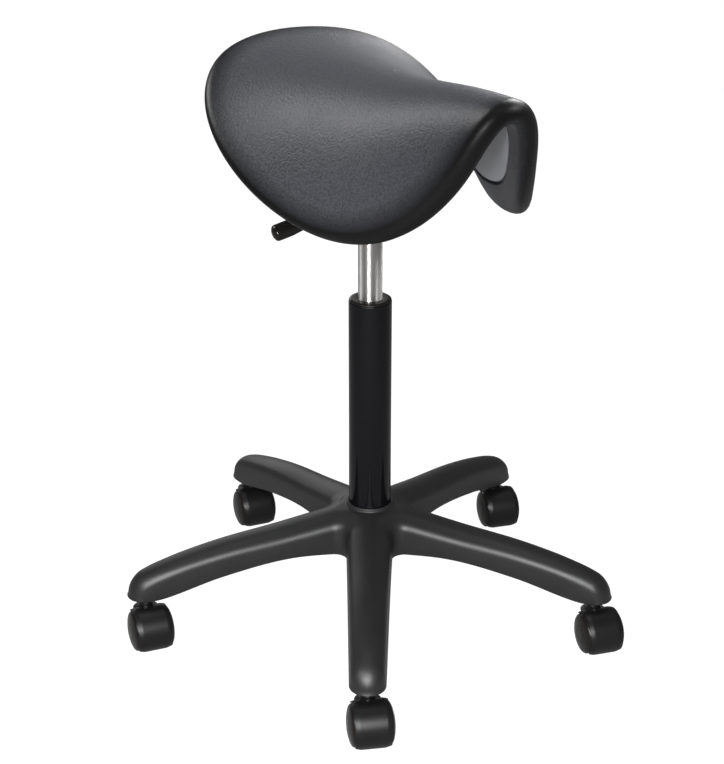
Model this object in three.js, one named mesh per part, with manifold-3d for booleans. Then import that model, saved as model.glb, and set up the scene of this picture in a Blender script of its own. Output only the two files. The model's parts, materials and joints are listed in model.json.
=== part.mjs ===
// A saddle stool: a moulded saddle seat on a gas lift, with a five-armed base on twin-wheel casters.
// Millimetres, +Z up. The floor is z = 0 and the front arm of the base points along -Y.
import * as THREE from "three";
import { mergeVertices } from "three/addons/utils/BufferGeometryUtils.js";
import Module from "manifold-3d";

const wasm = await Module();
wasm.setup();

// General sizes
const clearance = 0.3; // between pieces that touch, slide or turn on each other
const overrun = 6; // how far a cutter passes the face that it cuts
const mergeDistance = 1e-4; // corners nearer than this are one corner
const roundSides = 24; // sides of the larger round pieces
const smallSides = 12; // sides of pins, stems and screws

// Casters
const wheelDiameter = 48;
const wheelSides = 16;
const casterSides = 10; // sides of the stem and of what holds it
const casterWidth = 52; // over both wheels
const casterTrail = 20; // from the stem's axis back to the axle
const casterHeadings = [10, 17, 16, 23, 22].map(THREE.MathUtils.degToRad); // from the front one round
const axleDiameter = 6;
const axleEndCover = 6; // wheel face left outside each end of the axle
const hoodGap = 1; // between the tread and the inside of the hood
const hoodWall = 2;
const hoodArcSteps = 7;
const hoodInset = 4.6; // how far the wheels stand out of the hood at each end
const hoodFrontAngle = THREE.MathUtils.degToRad(36); // edge of the hood on the stem's side
const hoodBackAngle = THREE.MathUtils.degToRad(230); // edge of the hood behind the wheels
const webThickness = 9;
const stemDiameter = 11;
const stemBossWall = 2.9;
const stemDepth = 27; // how far the stem goes down into the hood's boss
const stemReach = 22; // how far the stem goes up into the arm
const stemCollarDiameter = 17;
const stemCollarHeight = 3.4;
const stemTipTaper = 1.4;
const wheelRimWall = 4;
const wheelRecess = 3; // of the inner face, inside the rim
const wheelShoulder = 2;
const wheelDome = 3.6; // how far the middle of the outer face stands proud of its edge
const wheelDomeShares = [0.6, 0.66]; // radius and height of a ring on the dome
const neckHeight = 5.4; // gap between the hood's top and the arm, where the collar shows
const gripRingHeight = 4;
const gripRingWall = 1.1;
const gripRingSplit = 3;
const gripRingDrop = 6; // from the top of the stem down to the ring
const gripGrooveDepth = 0.9;

// Five-star base
const armCount = 5;
const casterCircleRadius = 278; // from the column's axis to each stem
const armTipOverhang = 21; // from the stem's axis to the end of the arm
const armRootWidth = 56;
const armTipWidth = 41;
const armRise = 81; // from the underside of the socket for the stem up to the top of the root
const armTopShares = [1, 0.835, 0.696, 0.484, 0.295]; // of armRise, at armStationShares
const armBottomShares = [0.375, 0.43, 0.278, 0.044, 0.03];
const armStationShares = [0.108, 0.396, 0.683, 0.942, 1.075]; // of casterCircleRadius
const armCornerRadius = 22;
const armCornerSteps = 3;
const cavityCornerSteps = 1; // the inside of the arm has plain chamfers
const armDraft = 1.6; // how much narrower each side is at the top of its wall
const armTipDrop = 12; // how far the top rounds down at the very end
const armCornerShares = [0.96, 0.8]; // most that a corner takes of the half width and of the height
const armDraftShare = 0.1; // most that the draft takes of the half width
const armWall = 3.4;
const armSections = 6;
const armTipShares = [0.3, 0.6, 0.9]; // of a right angle, round the arm's end
const ribThickness = 2.6;
const ribRecess = 4; // the ribs stop short of the open underside
const crossRibShares = [0.34, 0.53, 0.72]; // of casterCircleRadius
const socketBossWall = 4.6;
const hubDiameter = 82;
const hubBarrelDiameter = 72; // narrower lower end of the hub
const hubSkirtHeight = 18; // of that lower end
const hubSkirtRise = 7; // up which the hub widens above it
const hubLipHeight = 5;
const hubLipFootShare = 0.35; // of the lip's height, where the shoulder meets it
const hubLipWall = 2.4;
const hubLipTaper = 0.6;
const hubShoulderDrop = 3; // from the foot of the lip down to the start of the shoulder
const hubShoulderHeight = 9;
const hubShoulderWidth = 6;
const hubHeight = 64; // from the underside of the hub to the top of its lip
const hubTop = 142; // top of the lip, above the floor
const hubRingWall = 3;
const hubRingHeight = 14;

// Column
const tubeDiameter = 50;
const tubeWall = 2;
const tubeTop = 399; // above the floor
const tubeFootTaper = 1.3; // how much the radius shrinks down the tapered foot
const tubeFloor = 3;
const tubeFootInset = 6; // the foot stands this far above the underside of the hub
const bushLength = 62;
const bushFlange = 2.6;
const bushRimInset = 0.5;
const bushEdgeShare = 0.6; // of the flange, left upright below its rounded edge
const cylinderDiameter = 28;
const cylinderWall = 1.8;
const cylinderLength = 352;
const cylinderTopPlug = 30;
const cylinderCrimp = 1.6;
const taperLength = 62;
const taperNarrowing = 0.9; // how much the radius shrinks up the tapered top
const valvePinDiameter = 6;
const valvePinHeight = 5.7; // how far the release pin stands out of the cylinder
const valvePinDepth = 16;
const valvePinDome = 1;
const rodDiameter = 10;
const rodNeckDiameter = 8;
const pistonLift = 240; // from the foot of the tube up to the underside of the piston
const pistonHeight = 12;
const pistonNeckDiameter = 7;
const pistonNeckProud = 2;
const glandHeight = 12;
const washerOuterDiameter = 32;
const washerThickness = 2;
const thrustBallDiameter = 5;
const thrustBallCount = 6;
const cageThickness = 2.4;
const cageWall = 1.2;
const ballRings = 4;
const ballSides = 6;
const bufferHeight = 16;
const bufferDiameter = 30;
const bufferWaist = 2;
const clipThickness = 1.4;
const clipDiameter = 17;
const clipMouth = 5;
const clipGrooveDepth = 0.8;
const rodEndLength = 3; // of the rod below the clip

// Saddle: a sheet that is bent along its ridge and folded across it, with a rolled rim
const seatHeading = THREE.MathUtils.degToRad(57.4); // the pommel points this far round from +X towards -Y
const seatHeight = 673; // the ridge above the floor, at its middle station
const seatSetback = -40; // from that station to the column, along the ridge
const saddleFrontReach = 226;
const saddleRearReach = 237;
const saddleSideReach = 213; // from the ridge down to the rim, along the surface
const saddleWidestStation = 6;
const rimFrontRoundness = 1.84;
const rimRearRoundness = 1.96;
const ridgeSlopes = [-0.18, 0.02, 0.03, 0.13, 0.09, 0.02]; // from the rear to the front
const ridgeFrontShares = [1 / 3, 2 / 3, 1];
const foldAngles = [0.08, 0.93, 1.37, 1.49, 1.58]; // of the flaps, from the rear to the front
const crownRadii = [205, 134, 46]; // how wide the top bends before the flaps hang straight
const flapSweepShare = 0.14; // how far a flap's foot leans forward, of its drop
const saddleSteps = 40;
const foldSteps = 8;
const rimThickness = 25;
const rimRollShares = [[0.5, 0.03], [0.12, 0.2], [0, 0.5], [0.12, 0.8], [0.5, 1]]; // inset and depth
const crownShares = [0.3, 0.62, 0.86]; // loops over the top of the foam
const panelInset = 34; // from the rim to the recess under the foam
const panelStep = 6; // depth of that recess
const shellThickness = 4;
const shellEdgeShare = 0.06; // of the outer band of the recess, left free round the shell
const panelShares = [0.35, 0.7, 1];
const rimPointCount = 48;

// Seat mechanism
const padDiameter = 120;
const padDrop = 64; // from the ridge over the column down to the pad's flat underside
const panDiameter = 88;
const panWall = 2.5;
const panFlangeWidth = 12;
const panSides = 24;
const panCorner = 5;
const panSlotPlay = 1.2; // left above and below the lever rod in the pan's slot
const leverDrop = 10; // from the pad's underside to the lever's axis
const panFloorDrop = 13; // from the lever's axis to the top of the pan's floor
const socketWall = 4;
const socketFootWall = 2.6;
const leverAzimuth = THREE.MathUtils.degToRad(200);
const leverRodDiameter = 8;
const leverInnerReach = 7; // how far the lever passes over the release pin
const leverPivotRadius = 26;
const leverKneeRadius = 55; // where it bends down outside the pan
const leverKneeDrop = 92;
const leverKneeStep = 6; // how much further out the foot of the bend is
const leverTipRadius = 115;
const leverTipDrop = 107;
const leverBendLength = 11; // from a bend's corner to where its curve starts
const leverTravel = THREE.MathUtils.degToRad(6);
const leverSteps = 12;
const leverSideSteps = 4; // sides of each half of the rod
const rodInGripShare = 0.72; // how far the rod goes into the lever's outer leg
const gripLength = 42;
const gripDiameter = 19;
const gripNeckDiameter = 13;
const gripSwellShares = [[0.86, 0.2], [1, 0.5]]; // radius and place of the swelling, from its neck
const gripTipShares = [[0, 1.6], [0.45, 0.5], [1.4, 0]]; // of the rounding, in from the side and from the tip
const gripTipRounding = 4;
const leverHubDiameter = 13;
const leverHubWidth = 12;
const pivotDiameter = 5;
const pivotHead = 1.6;
const bracketThickness = 2.5;
const bracketLength = 20;
const screwDiameter = 6;
const screwLength = 14;
const screwHeadDiameter = 11;
const screwHeadHeight = 3.6;
const screwSocketDiameter = 5;
const screwSocketDepth = 2;
const screwCount = 4;

// Levels and radii worked out from the sizes above
const wheelRadius = wheelDiameter / 2;
const hoodInnerRadius = wheelRadius + hoodGap;
const hoodOuterRadius = hoodInnerRadius + hoodWall;
const casterHeight = wheelRadius + hoodOuterRadius;
const stemBossRadius = stemDiameter / 2 + clearance + stemBossWall;
const armTipUnderside = casterHeight + neckHeight;
const stemTop = armTipUnderside + stemReach;
const gripRingTop = stemTop - gripRingDrop;
const hubBottom = hubTop - hubHeight;
const tubeRadius = tubeDiameter / 2;
const tubeFoot = hubBottom + tubeFootInset;
const tubeBore = tubeRadius - tubeWall;
const tubeFootRadius = tubeRadius - tubeFootTaper;
const tubeFloorTop = tubeFoot + tubeFloor;
const rodRadius = rodDiameter / 2;
const rodNeckRadius = rodNeckDiameter / 2;
const neckHole = rodNeckRadius + clearance;
const lowerWasherBottom = tubeFloorTop + clearance;
const ballBottom = lowerWasherBottom + washerThickness + clearance;
const upperWasherBottom = ballBottom + thrustBallDiameter + clearance;
const upperWasherTop = upperWasherBottom + washerThickness;
const bufferBottom = upperWasherTop + clearance;
const pistonBottom = tubeFoot + pistonLift;
const cylinderRadius = cylinderDiameter / 2;
const cylinderBore = cylinderRadius - cylinderWall;
const saddle = saddleSheet();
const ridgeOverColumn = seatHeight + saddle.point(seatSetback, 0, 0).z;
const padBottom = ridgeOverColumn - padDrop;
const leverLevel = padBottom - leverDrop;
const panFloorTop = leverLevel - panFloorDrop;
const panFloorBottom = panFloorTop - panWall;
const cylinderTop = leverLevel - leverRodDiameter / 2 - clearance - valvePinHeight;
const cylinderBottom = cylinderTop - cylinderLength;
const taperBottom = cylinderTop - taperLength;

// Materials
const finish = (color, roughness, metalness) => new THREE.MeshStandardMaterial({ color, roughness, metalness });
const skinFoam = finish("#47484c", 0.55, 0);
const blackNylon = finish("#2b2b2d", 0.5, 0);
const blackPlastic = finish("#18181a", 0.25, 0);
const paintedTube = finish("#0d0d0e", 0.12, 0.2);
const brightSteel = finish("#c3c3c6", 0.18, 1);
const zincSteel = finish("#9c9fa3", 0.4, 1);
const pressedSteel = finish("#1d1e20", 0.45, 0.3);
const greyPanel = finish("#6d6e72", 0.5, 0);
const plywood = finish("#b08a5c", 0.7, 0);
const rubber = finish("#1b1b1b", 0.8, 0);

// A geometry as one closed surface that faces out: merged corners, no empty triangles
function closed(geometry) {
  const bare = new THREE.BufferGeometry();
  const flat = geometry.index ? geometry.toNonIndexed() : geometry;
  bare.setAttribute("position", flat.getAttribute("position"));
  const merged = mergeVertices(bare, mergeDistance);
  const position = merged.getAttribute("position");
  const corners = [];
  let volume = 0;
  const [a, b, c] = [new THREE.Vector3(), new THREE.Vector3(), new THREE.Vector3()];
  for (let i = 0; i < merged.index.count; i += 3) {
    const [p, q, r] = [0, 1, 2].map((k) => merged.index.getX(i + k));
    if (p === q || q === r || r === p) continue;
    corners.push(p, q, r);
    a.fromBufferAttribute(position, p);
    b.fromBufferAttribute(position, q);
    c.fromBufferAttribute(position, r);
    volume += a.dot(b.cross(c));
  }
  if (volume < 0) corners.reverse();
  merged.setIndex(corners);
  return merged;
}

// Geometry to solid and back, and the ways of combining solids
function solid(geometry) {
  const mesh = closed(geometry);
  const vertProperties = new Float32Array(mesh.getAttribute("position").array);
  const triVerts = new Uint32Array(mesh.index.array);
  return new wasm.Manifold(new wasm.Mesh({ numProp: 3, vertProperties, triVerts }));
}

function geometryOf(body) {
  const mesh = body.getMesh();
  const geometry = new THREE.BufferGeometry();
  geometry.setAttribute("position", new THREE.BufferAttribute(new Float32Array(mesh.vertProperties), 3));
  geometry.setIndex(Array.from(mesh.triVerts));
  return geometry;
}

function join(...geometries) {
  return geometryOf(geometries.map(solid).reduce((whole, piece) => whole.add(piece)));
}

function cut(geometry, ...cutters) {
  return geometryOf(cutters.map(solid).reduce((rest, cutter) => rest.subtract(cutter), solid(geometry)));
}

function within(geometry, limit) {
  return geometryOf(solid(geometry).intersect(solid(limit)));
}

// Profile of [radius, height] points turned about Z, with its first corner at the start angle
function revolve(profile, sides = roundSides, start = 0) {
  const points = profile.map(([radius, height]) => new THREE.Vector2(radius, height));
  const geometry = new THREE.LatheGeometry(points, sides, start, Math.PI * 2);
  return closed(geometry.rotateX(Math.PI / 2));
}

function ring(inner, outer, bottom, top, sides = roundSides) {
  const loop = [[inner, bottom], [outer, bottom], [outer, top], [inner, top], [inner, bottom]];
  return revolve(loop, sides);
}

function rod(radius, bottom, top, sides = smallSides) {
  const height = top - bottom;
  return new THREE.CylinderGeometry(radius, radius, height, sides)
    .rotateX(Math.PI / 2)
    .translate(0, 0, bottom + height / 2);
}

function block(width, depth, height) {
  return new THREE.BoxGeometry(width, depth, height);
}

// Skin over a row of loops that have the same number of points, with a flat fan at each end.
// Each quad is split on its shorter diagonal, so that two skins over like loops lie evenly apart.
function loft(loops) {
  const count = loops[0].length;
  const points = loops.flat();
  const corners = [];
  for (let i = 0; i < loops.length - 1; i++) {
    for (let j = 0; j < count; j++) {
      const k = (j + 1) % count;
      const [a, b, c, d] = [i * count + j, i * count + k, (i + 1) * count + k, (i + 1) * count + j];
      const straight = points[a].distanceTo(points[c]) <= points[b].distanceTo(points[d]);
      corners.push(...(straight ? [a, b, c, a, c, d] : [a, b, d, b, c, d]));
    }
  }
  const last = (loops.length - 1) * count;
  for (let j = 1; j < count - 1; j++) {
    corners.push(0, j + 1, j, last, last + j, last + j + 1);
  }
  const geometry = new THREE.BufferGeometry().setFromPoints(points);
  geometry.setIndex(corners);
  return closed(geometry);
}

// Smooth curve through values at rising stations
function throughStations(stations, values) {
  const count = stations.length;
  const slopeAt = (i) => {
    const low = Math.max(i - 1, 0);
    const high = Math.min(i + 1, count - 1);
    return (values[high] - values[low]) / (stations[high] - stations[low]);
  };
  return (place) => {
    const x = THREE.MathUtils.clamp(place, stations[0], stations[count - 1]);
    let i = 0;
    while (i < count - 2 && x > stations[i + 1]) i++;
    const span = stations[i + 1] - stations[i];
    const t = (x - stations[i]) / span;
    const before = (2 * t ** 3 - 3 * t ** 2 + 1) * values[i] + (t ** 3 - 2 * t ** 2 + t) * span * slopeAt(i);
    const after = (-2 * t ** 3 + 3 * t ** 2) * values[i + 1] + (t ** 3 - t ** 2) * span * slopeAt(i + 1);
    return before + after;
  };
}

// The saddle's sheet: point(s, t, h) is s along the ridge, t across it and h above the outer surface.
// Its slope, fold and crown change along the ridge, and each flap hangs at the angle that they give.
function saddleSheet() {
  const front = ridgeFrontShares.map((share) => share * saddleFrontReach);
  const slope = throughStations([-saddleRearReach, -saddleRearReach / 2, 0, ...front], ridgeSlopes);
  const stations = [-saddleRearReach, -saddleRearReach / 2, 0, saddleFrontReach / 2, saddleFrontReach];
  const fold = throughStations(stations, foldAngles);
  const crown = throughStations([-saddleRearReach, 0, saddleFrontReach], crownRadii);
  const ridge = (s) => {
    const step = s / saddleSteps;
    let [x, z] = [0, 0];
    for (let i = 0; i < saddleSteps; i++) {
      const angle = slope(step * (i + 0.5));
      x += Math.cos(angle) * step;
      z += Math.sin(angle) * step;
    }
    return { x, z };
  };
  const point = (s, t, h) => {
    const { x, z } = ridge(s);
    const reach = Math.abs(t);
    const angleAt = (distance) => fold(s) * Math.tanh(distance / crown(s));
    let [across, down] = [0, 0];
    for (let i = 0; i < foldSteps; i++) {
      const angle = angleAt((reach * (i + 0.5)) / foldSteps);
      across += (Math.cos(angle) * reach) / foldSteps;
      down += (Math.sin(angle) * reach) / foldSteps;
    }
    across += h * Math.sin(angleAt(reach));
    down -= h * Math.cos(angleAt(reach));
    const lean = Math.sin(slope(s)) + flapSweepShare * (reach / saddleSideReach) ** 2;
    const y = t < 0 ? -across : across;
    return new THREE.Vector3(x + down * lean, y, z - down * Math.cos(slope(s)));
  };
  // Distance from the middle of the sheet to its rim in the direction of an angle
  const rimReach = (angle) => {
    const [along, side] = [Math.cos(angle), Math.sin(angle)];
    const reach = along > 0 ? saddleFrontReach - saddleWidestStation : saddleRearReach + saddleWidestStation;
    const power = along > 0 ? rimFrontRoundness : rimRearRoundness;
    const sum = Math.abs(along / reach) ** power + Math.abs(side / saddleSideReach) ** power;
    return sum ** (-1 / power);
  };
  return { point, rimReach };
}

// Closed loop of the sheet that lies a distance inside the rim, at a height above the outer surface
function saddleLoop(inset, height, share = 1) {
  const loop = [];
  for (let i = 0; i < rimPointCount; i++) {
    const angle = (i / rimPointCount) * Math.PI * 2;
    const reach = (saddle.rimReach(angle) - inset) * share;
    const s = saddleWidestStation + reach * Math.cos(angle);
    const t = reach * Math.sin(angle);
    loop.push(saddle.point(s, t, height));
  }
  return loop;
}

// A stack of saddle loops closed at both ends by a point in the middle of the sheet
function saddleSolid(loops, startHeight, endHeight) {
  const start = saddle.point(saddleWidestStation, 0, startHeight);
  const end = saddle.point(saddleWidestStation, 0, endHeight);
  const same = (point) => Array.from({ length: rimPointCount }, () => point.clone());
  return loft([same(start), ...loops, same(end)]);
}

function saddleCover() {
  const outer = crownShares.map((share) => saddleLoop(rimThickness, 0, share));
  const rollLoop = ([inset, depth]) => saddleLoop(rimThickness * inset, -rimThickness * depth);
  const lip = saddleLoop(panelInset, -rimThickness);
  const recess = panelStep - rimThickness;
  return saddleSolid([...outer, ...rimRollShares.map(rollLoop), lip, ...panelLoops(recess).reverse()], 0, recess);
}

// The loops that the recess and the shell in it share, from the middle outwards
function panelLoops(height) {
  return panelShares.map((share) => saddleLoop(panelInset, height, share));
}

function saddleShell() {
  const top = panelStep - rimThickness - clearance * 2;
  const bottom = top - shellThickness;
  const drawnIn = (height) => {
    const [inner, middle, outer] = panelLoops(height);
    return [inner, middle, outer.map((point, i) => point.clone().lerp(middle[i], shellEdgeShare))];
  };
  return saddleSolid([...drawnIn(top), ...drawnIn(bottom).reverse()], top, bottom);
}

// Places a geometry made over the column, with the floor at zero, in the saddle's own frame
const toSaddleFrame = new THREE.Matrix4()
  .makeTranslation(seatSetback, 0, -seatHeight)
  .multiply(new THREE.Matrix4().makeRotationZ(seatHeading));

function mountingPad() {
  const underShell = panelStep - rimThickness - shellThickness - clearance * 4;
  const over = saddleSolid([...panelLoops(underShell), ...panelLoops(padDrop).reverse()], underShell, padDrop);
  const blank = rod(padDiameter / 2, padBottom, ridgeOverColumn - rimThickness / 2, panSides);
  const holeRadius = screwDiameter / 2 + clearance;
  const holes = screwPlaces().map(([x, y]) => {
    const hole = rod(holeRadius, padBottom - overrun, padBottom + screwLength).translate(x, y, 0);
    return hole.applyMatrix4(toSaddleFrame);
  });
  return cut(blank.applyMatrix4(toSaddleFrame), over, ...holes);
}

function screwPlaces() {
  const radius = (panDiameter + panFlangeWidth) / 2;
  return Array.from({ length: screwCount }, (_, i) => {
    const angle = leverAzimuth + ((i + 0.5) / screwCount) * Math.PI * 2;
    return [radius * Math.cos(angle), radius * Math.sin(angle)];
  });
}

// Column: everything is turned about the Z axis
function standTube() {
  const bore = tubeBore;
  const footBore = tubeFootRadius - tubeWall;
  return revolve([
    [neckHole + clearance, tubeFoot],
    [tubeFootRadius, tubeFoot],
    [tubeRadius, hubTop - hubLipHeight],
    [tubeRadius, tubeTop],
    [bore, tubeTop],
    [bore, hubTop - hubLipHeight],
    [footBore, tubeFloorTop],
    [neckHole + clearance, tubeFloorTop],
    [neckHole + clearance, tubeFoot],
  ]);
}

function guideBush() {
  const inner = cylinderRadius + clearance;
  const outer = tubeBore - clearance;
  const flangeBottom = tubeTop + clearance;
  return revolve([
    [inner, tubeTop - bushLength],
    [outer, tubeTop - bushLength],
    [outer, flangeBottom],
    [tubeRadius - bushRimInset, flangeBottom],
    [tubeRadius - bushRimInset, flangeBottom + bushFlange * bushEdgeShare],
    [tubeRadius - bushRimInset - bushFlange, flangeBottom + bushFlange],
    [inner, flangeBottom + bushFlange],
    [inner, tubeTop - bushLength],
  ]);
}

function ballCage() {
  const pitch = (washerOuterDiameter / 2 + neckHole) / 2;
  const half = cageThickness / 2;
  const middle = ballBottom + thrustBallDiameter / 2;
  const reach = thrustBallDiameter / 2 + cageWall;
  const cage = ring(pitch - reach, pitch + reach, middle - half, middle + half, smallSides);
  const balls = Array.from({ length: thrustBallCount }, (_, i) => {
    const angle = (i / thrustBallCount) * Math.PI * 2;
    return new THREE.SphereGeometry(thrustBallDiameter / 2, ballSides, ballRings)
      .rotateX(Math.PI / 2)
      .translate(pitch * Math.cos(angle), pitch * Math.sin(angle), middle);
  });
  return join(cage, ...balls);
}

function buffer() {
  const top = bufferBottom + bufferHeight;
  const inner = rodRadius + clearance;
  const outer = bufferDiameter / 2;
  return revolve([
    [inner, bufferBottom],
    [outer, bufferBottom],
    [outer - bufferWaist, bufferBottom + bufferHeight / 2],
    [outer, top],
    [inner, top],
    [inner, bufferBottom],
  ]);
}

function pistonRod() {
  const clipTop = tubeFoot - clearance;
  const clipBottom = clipTop - clipThickness;
  const grooveTop = clipTop + clearance / 2;
  const grooveBottom = clipBottom - clearance / 2;
  const groove = rodNeckRadius - clipGrooveDepth;
  return revolve(
    [
      [0, grooveBottom - rodEndLength],
      [rodNeckRadius, grooveBottom - rodEndLength],
      [rodNeckRadius, grooveBottom],
      [groove, grooveBottom],
      [groove, grooveTop],
      [rodNeckRadius, grooveTop],
      [rodNeckRadius, bufferBottom],
      [rodRadius, bufferBottom],
      [rodRadius, pistonBottom - clearance],
      [pistonNeckDiameter / 2, pistonBottom - clearance],
      [pistonNeckDiameter / 2, pistonBottom + pistonHeight + pistonNeckProud],
      [0, pistonBottom + pistonHeight + pistonNeckProud],
    ],
    smallSides,
  );
}

function retainingClip() {
  const top = tubeFoot - clearance;
  const bottom = top - clipThickness;
  const disc = ring(rodNeckRadius - clipGrooveDepth + clearance, clipDiameter / 2, bottom, top);
  const mouth = block(clipDiameter, clipMouth, clipThickness + overrun);
  return cut(disc, mouth.translate(clipDiameter / 2, 0, bottom));
}

function gasCylinder() {
  const top = cylinderTop;
  const valveHole = valvePinDiameter / 2 + clearance;
  return revolve([
    [rodRadius + clearance * 2, cylinderBottom],
    [cylinderRadius, cylinderBottom],
    [cylinderRadius, taperBottom],
    [cylinderRadius - taperNarrowing, top],
    [valveHole, top],
    [valveHole, top - cylinderTopPlug],
    [cylinderBore, top - cylinderTopPlug],
    [cylinderBore, cylinderBottom + cylinderCrimp],
    [rodRadius + clearance * 2, cylinderBottom + cylinderCrimp],
    [rodRadius + clearance * 2, cylinderBottom],
  ]);
}

function releasePin() {
  const top = cylinderTop + valvePinHeight;
  const radius = valvePinDiameter / 2;
  return revolve(
    [
      [0, cylinderTop - valvePinDepth],
      [radius, cylinderTop - valvePinDepth],
      [radius, top - valvePinDome],
      [radius - valvePinDome, top],
      [0, top],
    ],
    smallSides,
  );
}

// Five-star base
function armProfiles() {
  const stations = armStationShares.map((share) => share * casterCircleRadius);
  const heights = (shares) => shares.map((share) => armTipUnderside + share * armRise);
  const top = throughStations(stations, heights(armTopShares));
  const bottom = throughStations(stations, heights(armBottomShares));
  const start = stations[0];
  const halfWidth = (r) => {
    const share = THREE.MathUtils.clamp((r - start) / (casterCircleRadius - start), 0, 1);
    return THREE.MathUtils.lerp(armRootWidth, armTipWidth, share) / 2;
  };
  return { top, bottom, halfWidth, start };
}

// Arch across the arm: straight walls with rounded shoulders, its foot at the bottom height
function archLoop(r, halfWidth, bottom, top, shoulder, steps) {
  const [widthShare, heightShare] = armCornerShares;
  const corner = Math.min(shoulder, halfWidth * widthShare, (top - bottom) * heightShare);
  const draft = Math.min(armDraft, halfWidth * armDraftShare);
  const crest = halfWidth - draft;
  const loop = [new THREE.Vector3(r, -halfWidth, bottom)];
  for (const side of [-1, 1]) {
    for (let i = 0; i <= steps; i++) {
      const step = side < 0 ? i : steps - i;
      const angle = (step / steps) * (Math.PI / 2);
      const y = side * (crest - corner + corner * Math.cos(angle));
      loop.push(new THREE.Vector3(r, y, top - corner + corner * Math.sin(angle)));
    }
  }
  loop.push(new THREE.Vector3(r, halfWidth, bottom));
  return loop;
}

function armBody(wall, endOverhang, footDrop, from, steps) {
  const { top, bottom, halfWidth } = armProfiles();
  const arch = (r, half, fall) =>
    archLoop(r, half, bottom(r) - footDrop, top(r) - wall - fall, armCornerRadius - wall, steps);
  const loops = [];
  for (let i = 0; i < armSections; i++) {
    const r = THREE.MathUtils.lerp(from, casterCircleRadius, i / (armSections - 1));
    loops.push(arch(r, halfWidth(r) - wall, 0));
  }
  for (const share of armTipShares) {
    const angle = (share * Math.PI) / 2;
    const width = (halfWidth(casterCircleRadius) - wall) * Math.cos(angle);
    const fall = armTipDrop * (1 - Math.cos(angle));
    loops.push(arch(casterCircleRadius + endOverhang * Math.sin(angle), width, fall));
  }
  return loft(loops);
}

function armCavity() {
  const innerReach = hubDiameter / 2 + armWall;
  return armBody(armWall, armTipOverhang - armWall, overrun, innerReach, cavityCornerSteps);
}

function armRibs() {
  const { top, bottom, halfWidth } = armProfiles();
  const foot = (r) => bottom(r) + ribRecess;
  const crest = (r) => top(r) - armWall / 2;
  const sheet = (r, half) => [
    new THREE.Vector3(r, -half, foot(r)),
    new THREE.Vector3(r, -half, crest(r)),
    new THREE.Vector3(r, half, crest(r)),
    new THREE.Vector3(r, half, foot(r)),
  ];
  const from = hubDiameter / 2 - armWall;
  const spine = Array.from({ length: armSections }, (_, i) =>
    sheet(THREE.MathUtils.lerp(from, casterCircleRadius, i / (armSections - 1)), ribThickness / 2),
  );
  const crossRibs = crossRibShares.map((share) => {
    const r = share * casterCircleRadius;
    const half = halfWidth(r) - armWall / 2;
    const shoulder = armCornerRadius - armWall / 2;
    const face = (at) => archLoop(at, half, foot(r), crest(r), shoulder, cavityCornerSteps);
    return loft([face(r - ribThickness / 2), face(r + ribThickness / 2)]);
  });
  return [loft(spine), ...crossRibs];
}

function socketBore() {
  const bore = stemDiameter / 2 + clearance;
  const ringOuter = stemDiameter / 2 - gripGrooveDepth + clearance + gripRingWall;
  const pocketBottom = gripRingTop - gripRingHeight - clearance;
  const pocketTop = gripRingTop + clearance;
  return revolve(
    [
      [0, armTipUnderside - overrun],
      [bore, armTipUnderside - overrun],
      [bore, pocketBottom],
      [Math.max(ringOuter, bore) + clearance, pocketBottom],
      [Math.max(ringOuter, bore) + clearance, pocketTop],
      [bore, pocketTop],
      [bore, stemTop + clearance],
      [0, stemTop + clearance],
    ],
    casterSides,
  ).translate(casterCircleRadius, 0, 0);
}

function socketBoss() {
  const radius = stemDiameter / 2 + clearance + socketBossWall;
  const { top, start } = armProfiles();
  const blank = rod(radius, armTipUnderside, top(casterCircleRadius), casterSides);
  const wall = armWall / 2;
  const underSkin = armBody(wall, armTipOverhang - wall, overrun, start, armCornerSteps);
  return within(blank.translate(casterCircleRadius, 0, 0), underSkin);
}

function hubBody() {
  const lipOuter = tubeRadius + clearance + hubLipWall;
  const lipFoot = hubTop - hubLipHeight;
  return revolve([
    [0, hubBottom],
    [hubBarrelDiameter / 2, hubBottom],
    [hubBarrelDiameter / 2, hubBottom + hubSkirtHeight],
    [hubDiameter / 2, hubBottom + hubSkirtHeight + hubSkirtRise],
    [hubDiameter / 2, lipFoot - hubShoulderDrop - hubShoulderHeight],
    [hubDiameter / 2 - hubShoulderWidth, lipFoot - hubShoulderDrop],
    [lipOuter, lipFoot + hubLipHeight * hubLipFootShare],
    [lipOuter - hubLipTaper, hubTop],
    [0, hubTop],
  ]);
}

function hubBore() {
  const topRadius = tubeRadius + clearance;
  const footRadius = tubeFootRadius + clearance;
  const ringRadius = footRadius + clearance + hubRingWall + clearance;
  return revolve([
    [0, hubBottom - overrun],
    [ringRadius, hubBottom - overrun],
    [ringRadius, hubBottom + hubRingHeight + clearance],
    [footRadius + clearance, hubBottom + hubRingHeight + clearance],
    [topRadius, hubTop - hubLipHeight],
    [topRadius, hubTop + overrun],
    [0, hubTop + overrun],
  ]);
}

function hubRing() {
  const inner = tubeFootRadius + clearance * 2;
  const top = hubBottom + hubRingHeight;
  return ring(inner, inner + hubRingWall, hubBottom, top);
}

function armAngle(index) {
  return -Math.PI / 2 + (index / armCount) * Math.PI * 2;
}

function fiveStarBase() {
  const around = (make) =>
    Array.from({ length: armCount }, (_, i) => make().map((piece) => piece.rotateZ(armAngle(i)))).flat();
  const { start } = armProfiles();
  const outside = join(hubBody(), ...around(() => [armBody(0, armTipOverhang, 0, start, armCornerSteps)]));
  const hollow = cut(outside, ...around(() => [armCavity()]));
  const ribbed = join(hollow, ...around(() => [...armRibs(), socketBoss()]));
  return cut(ribbed, hubBore(), ...around(() => [socketBore()]));
}

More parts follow.
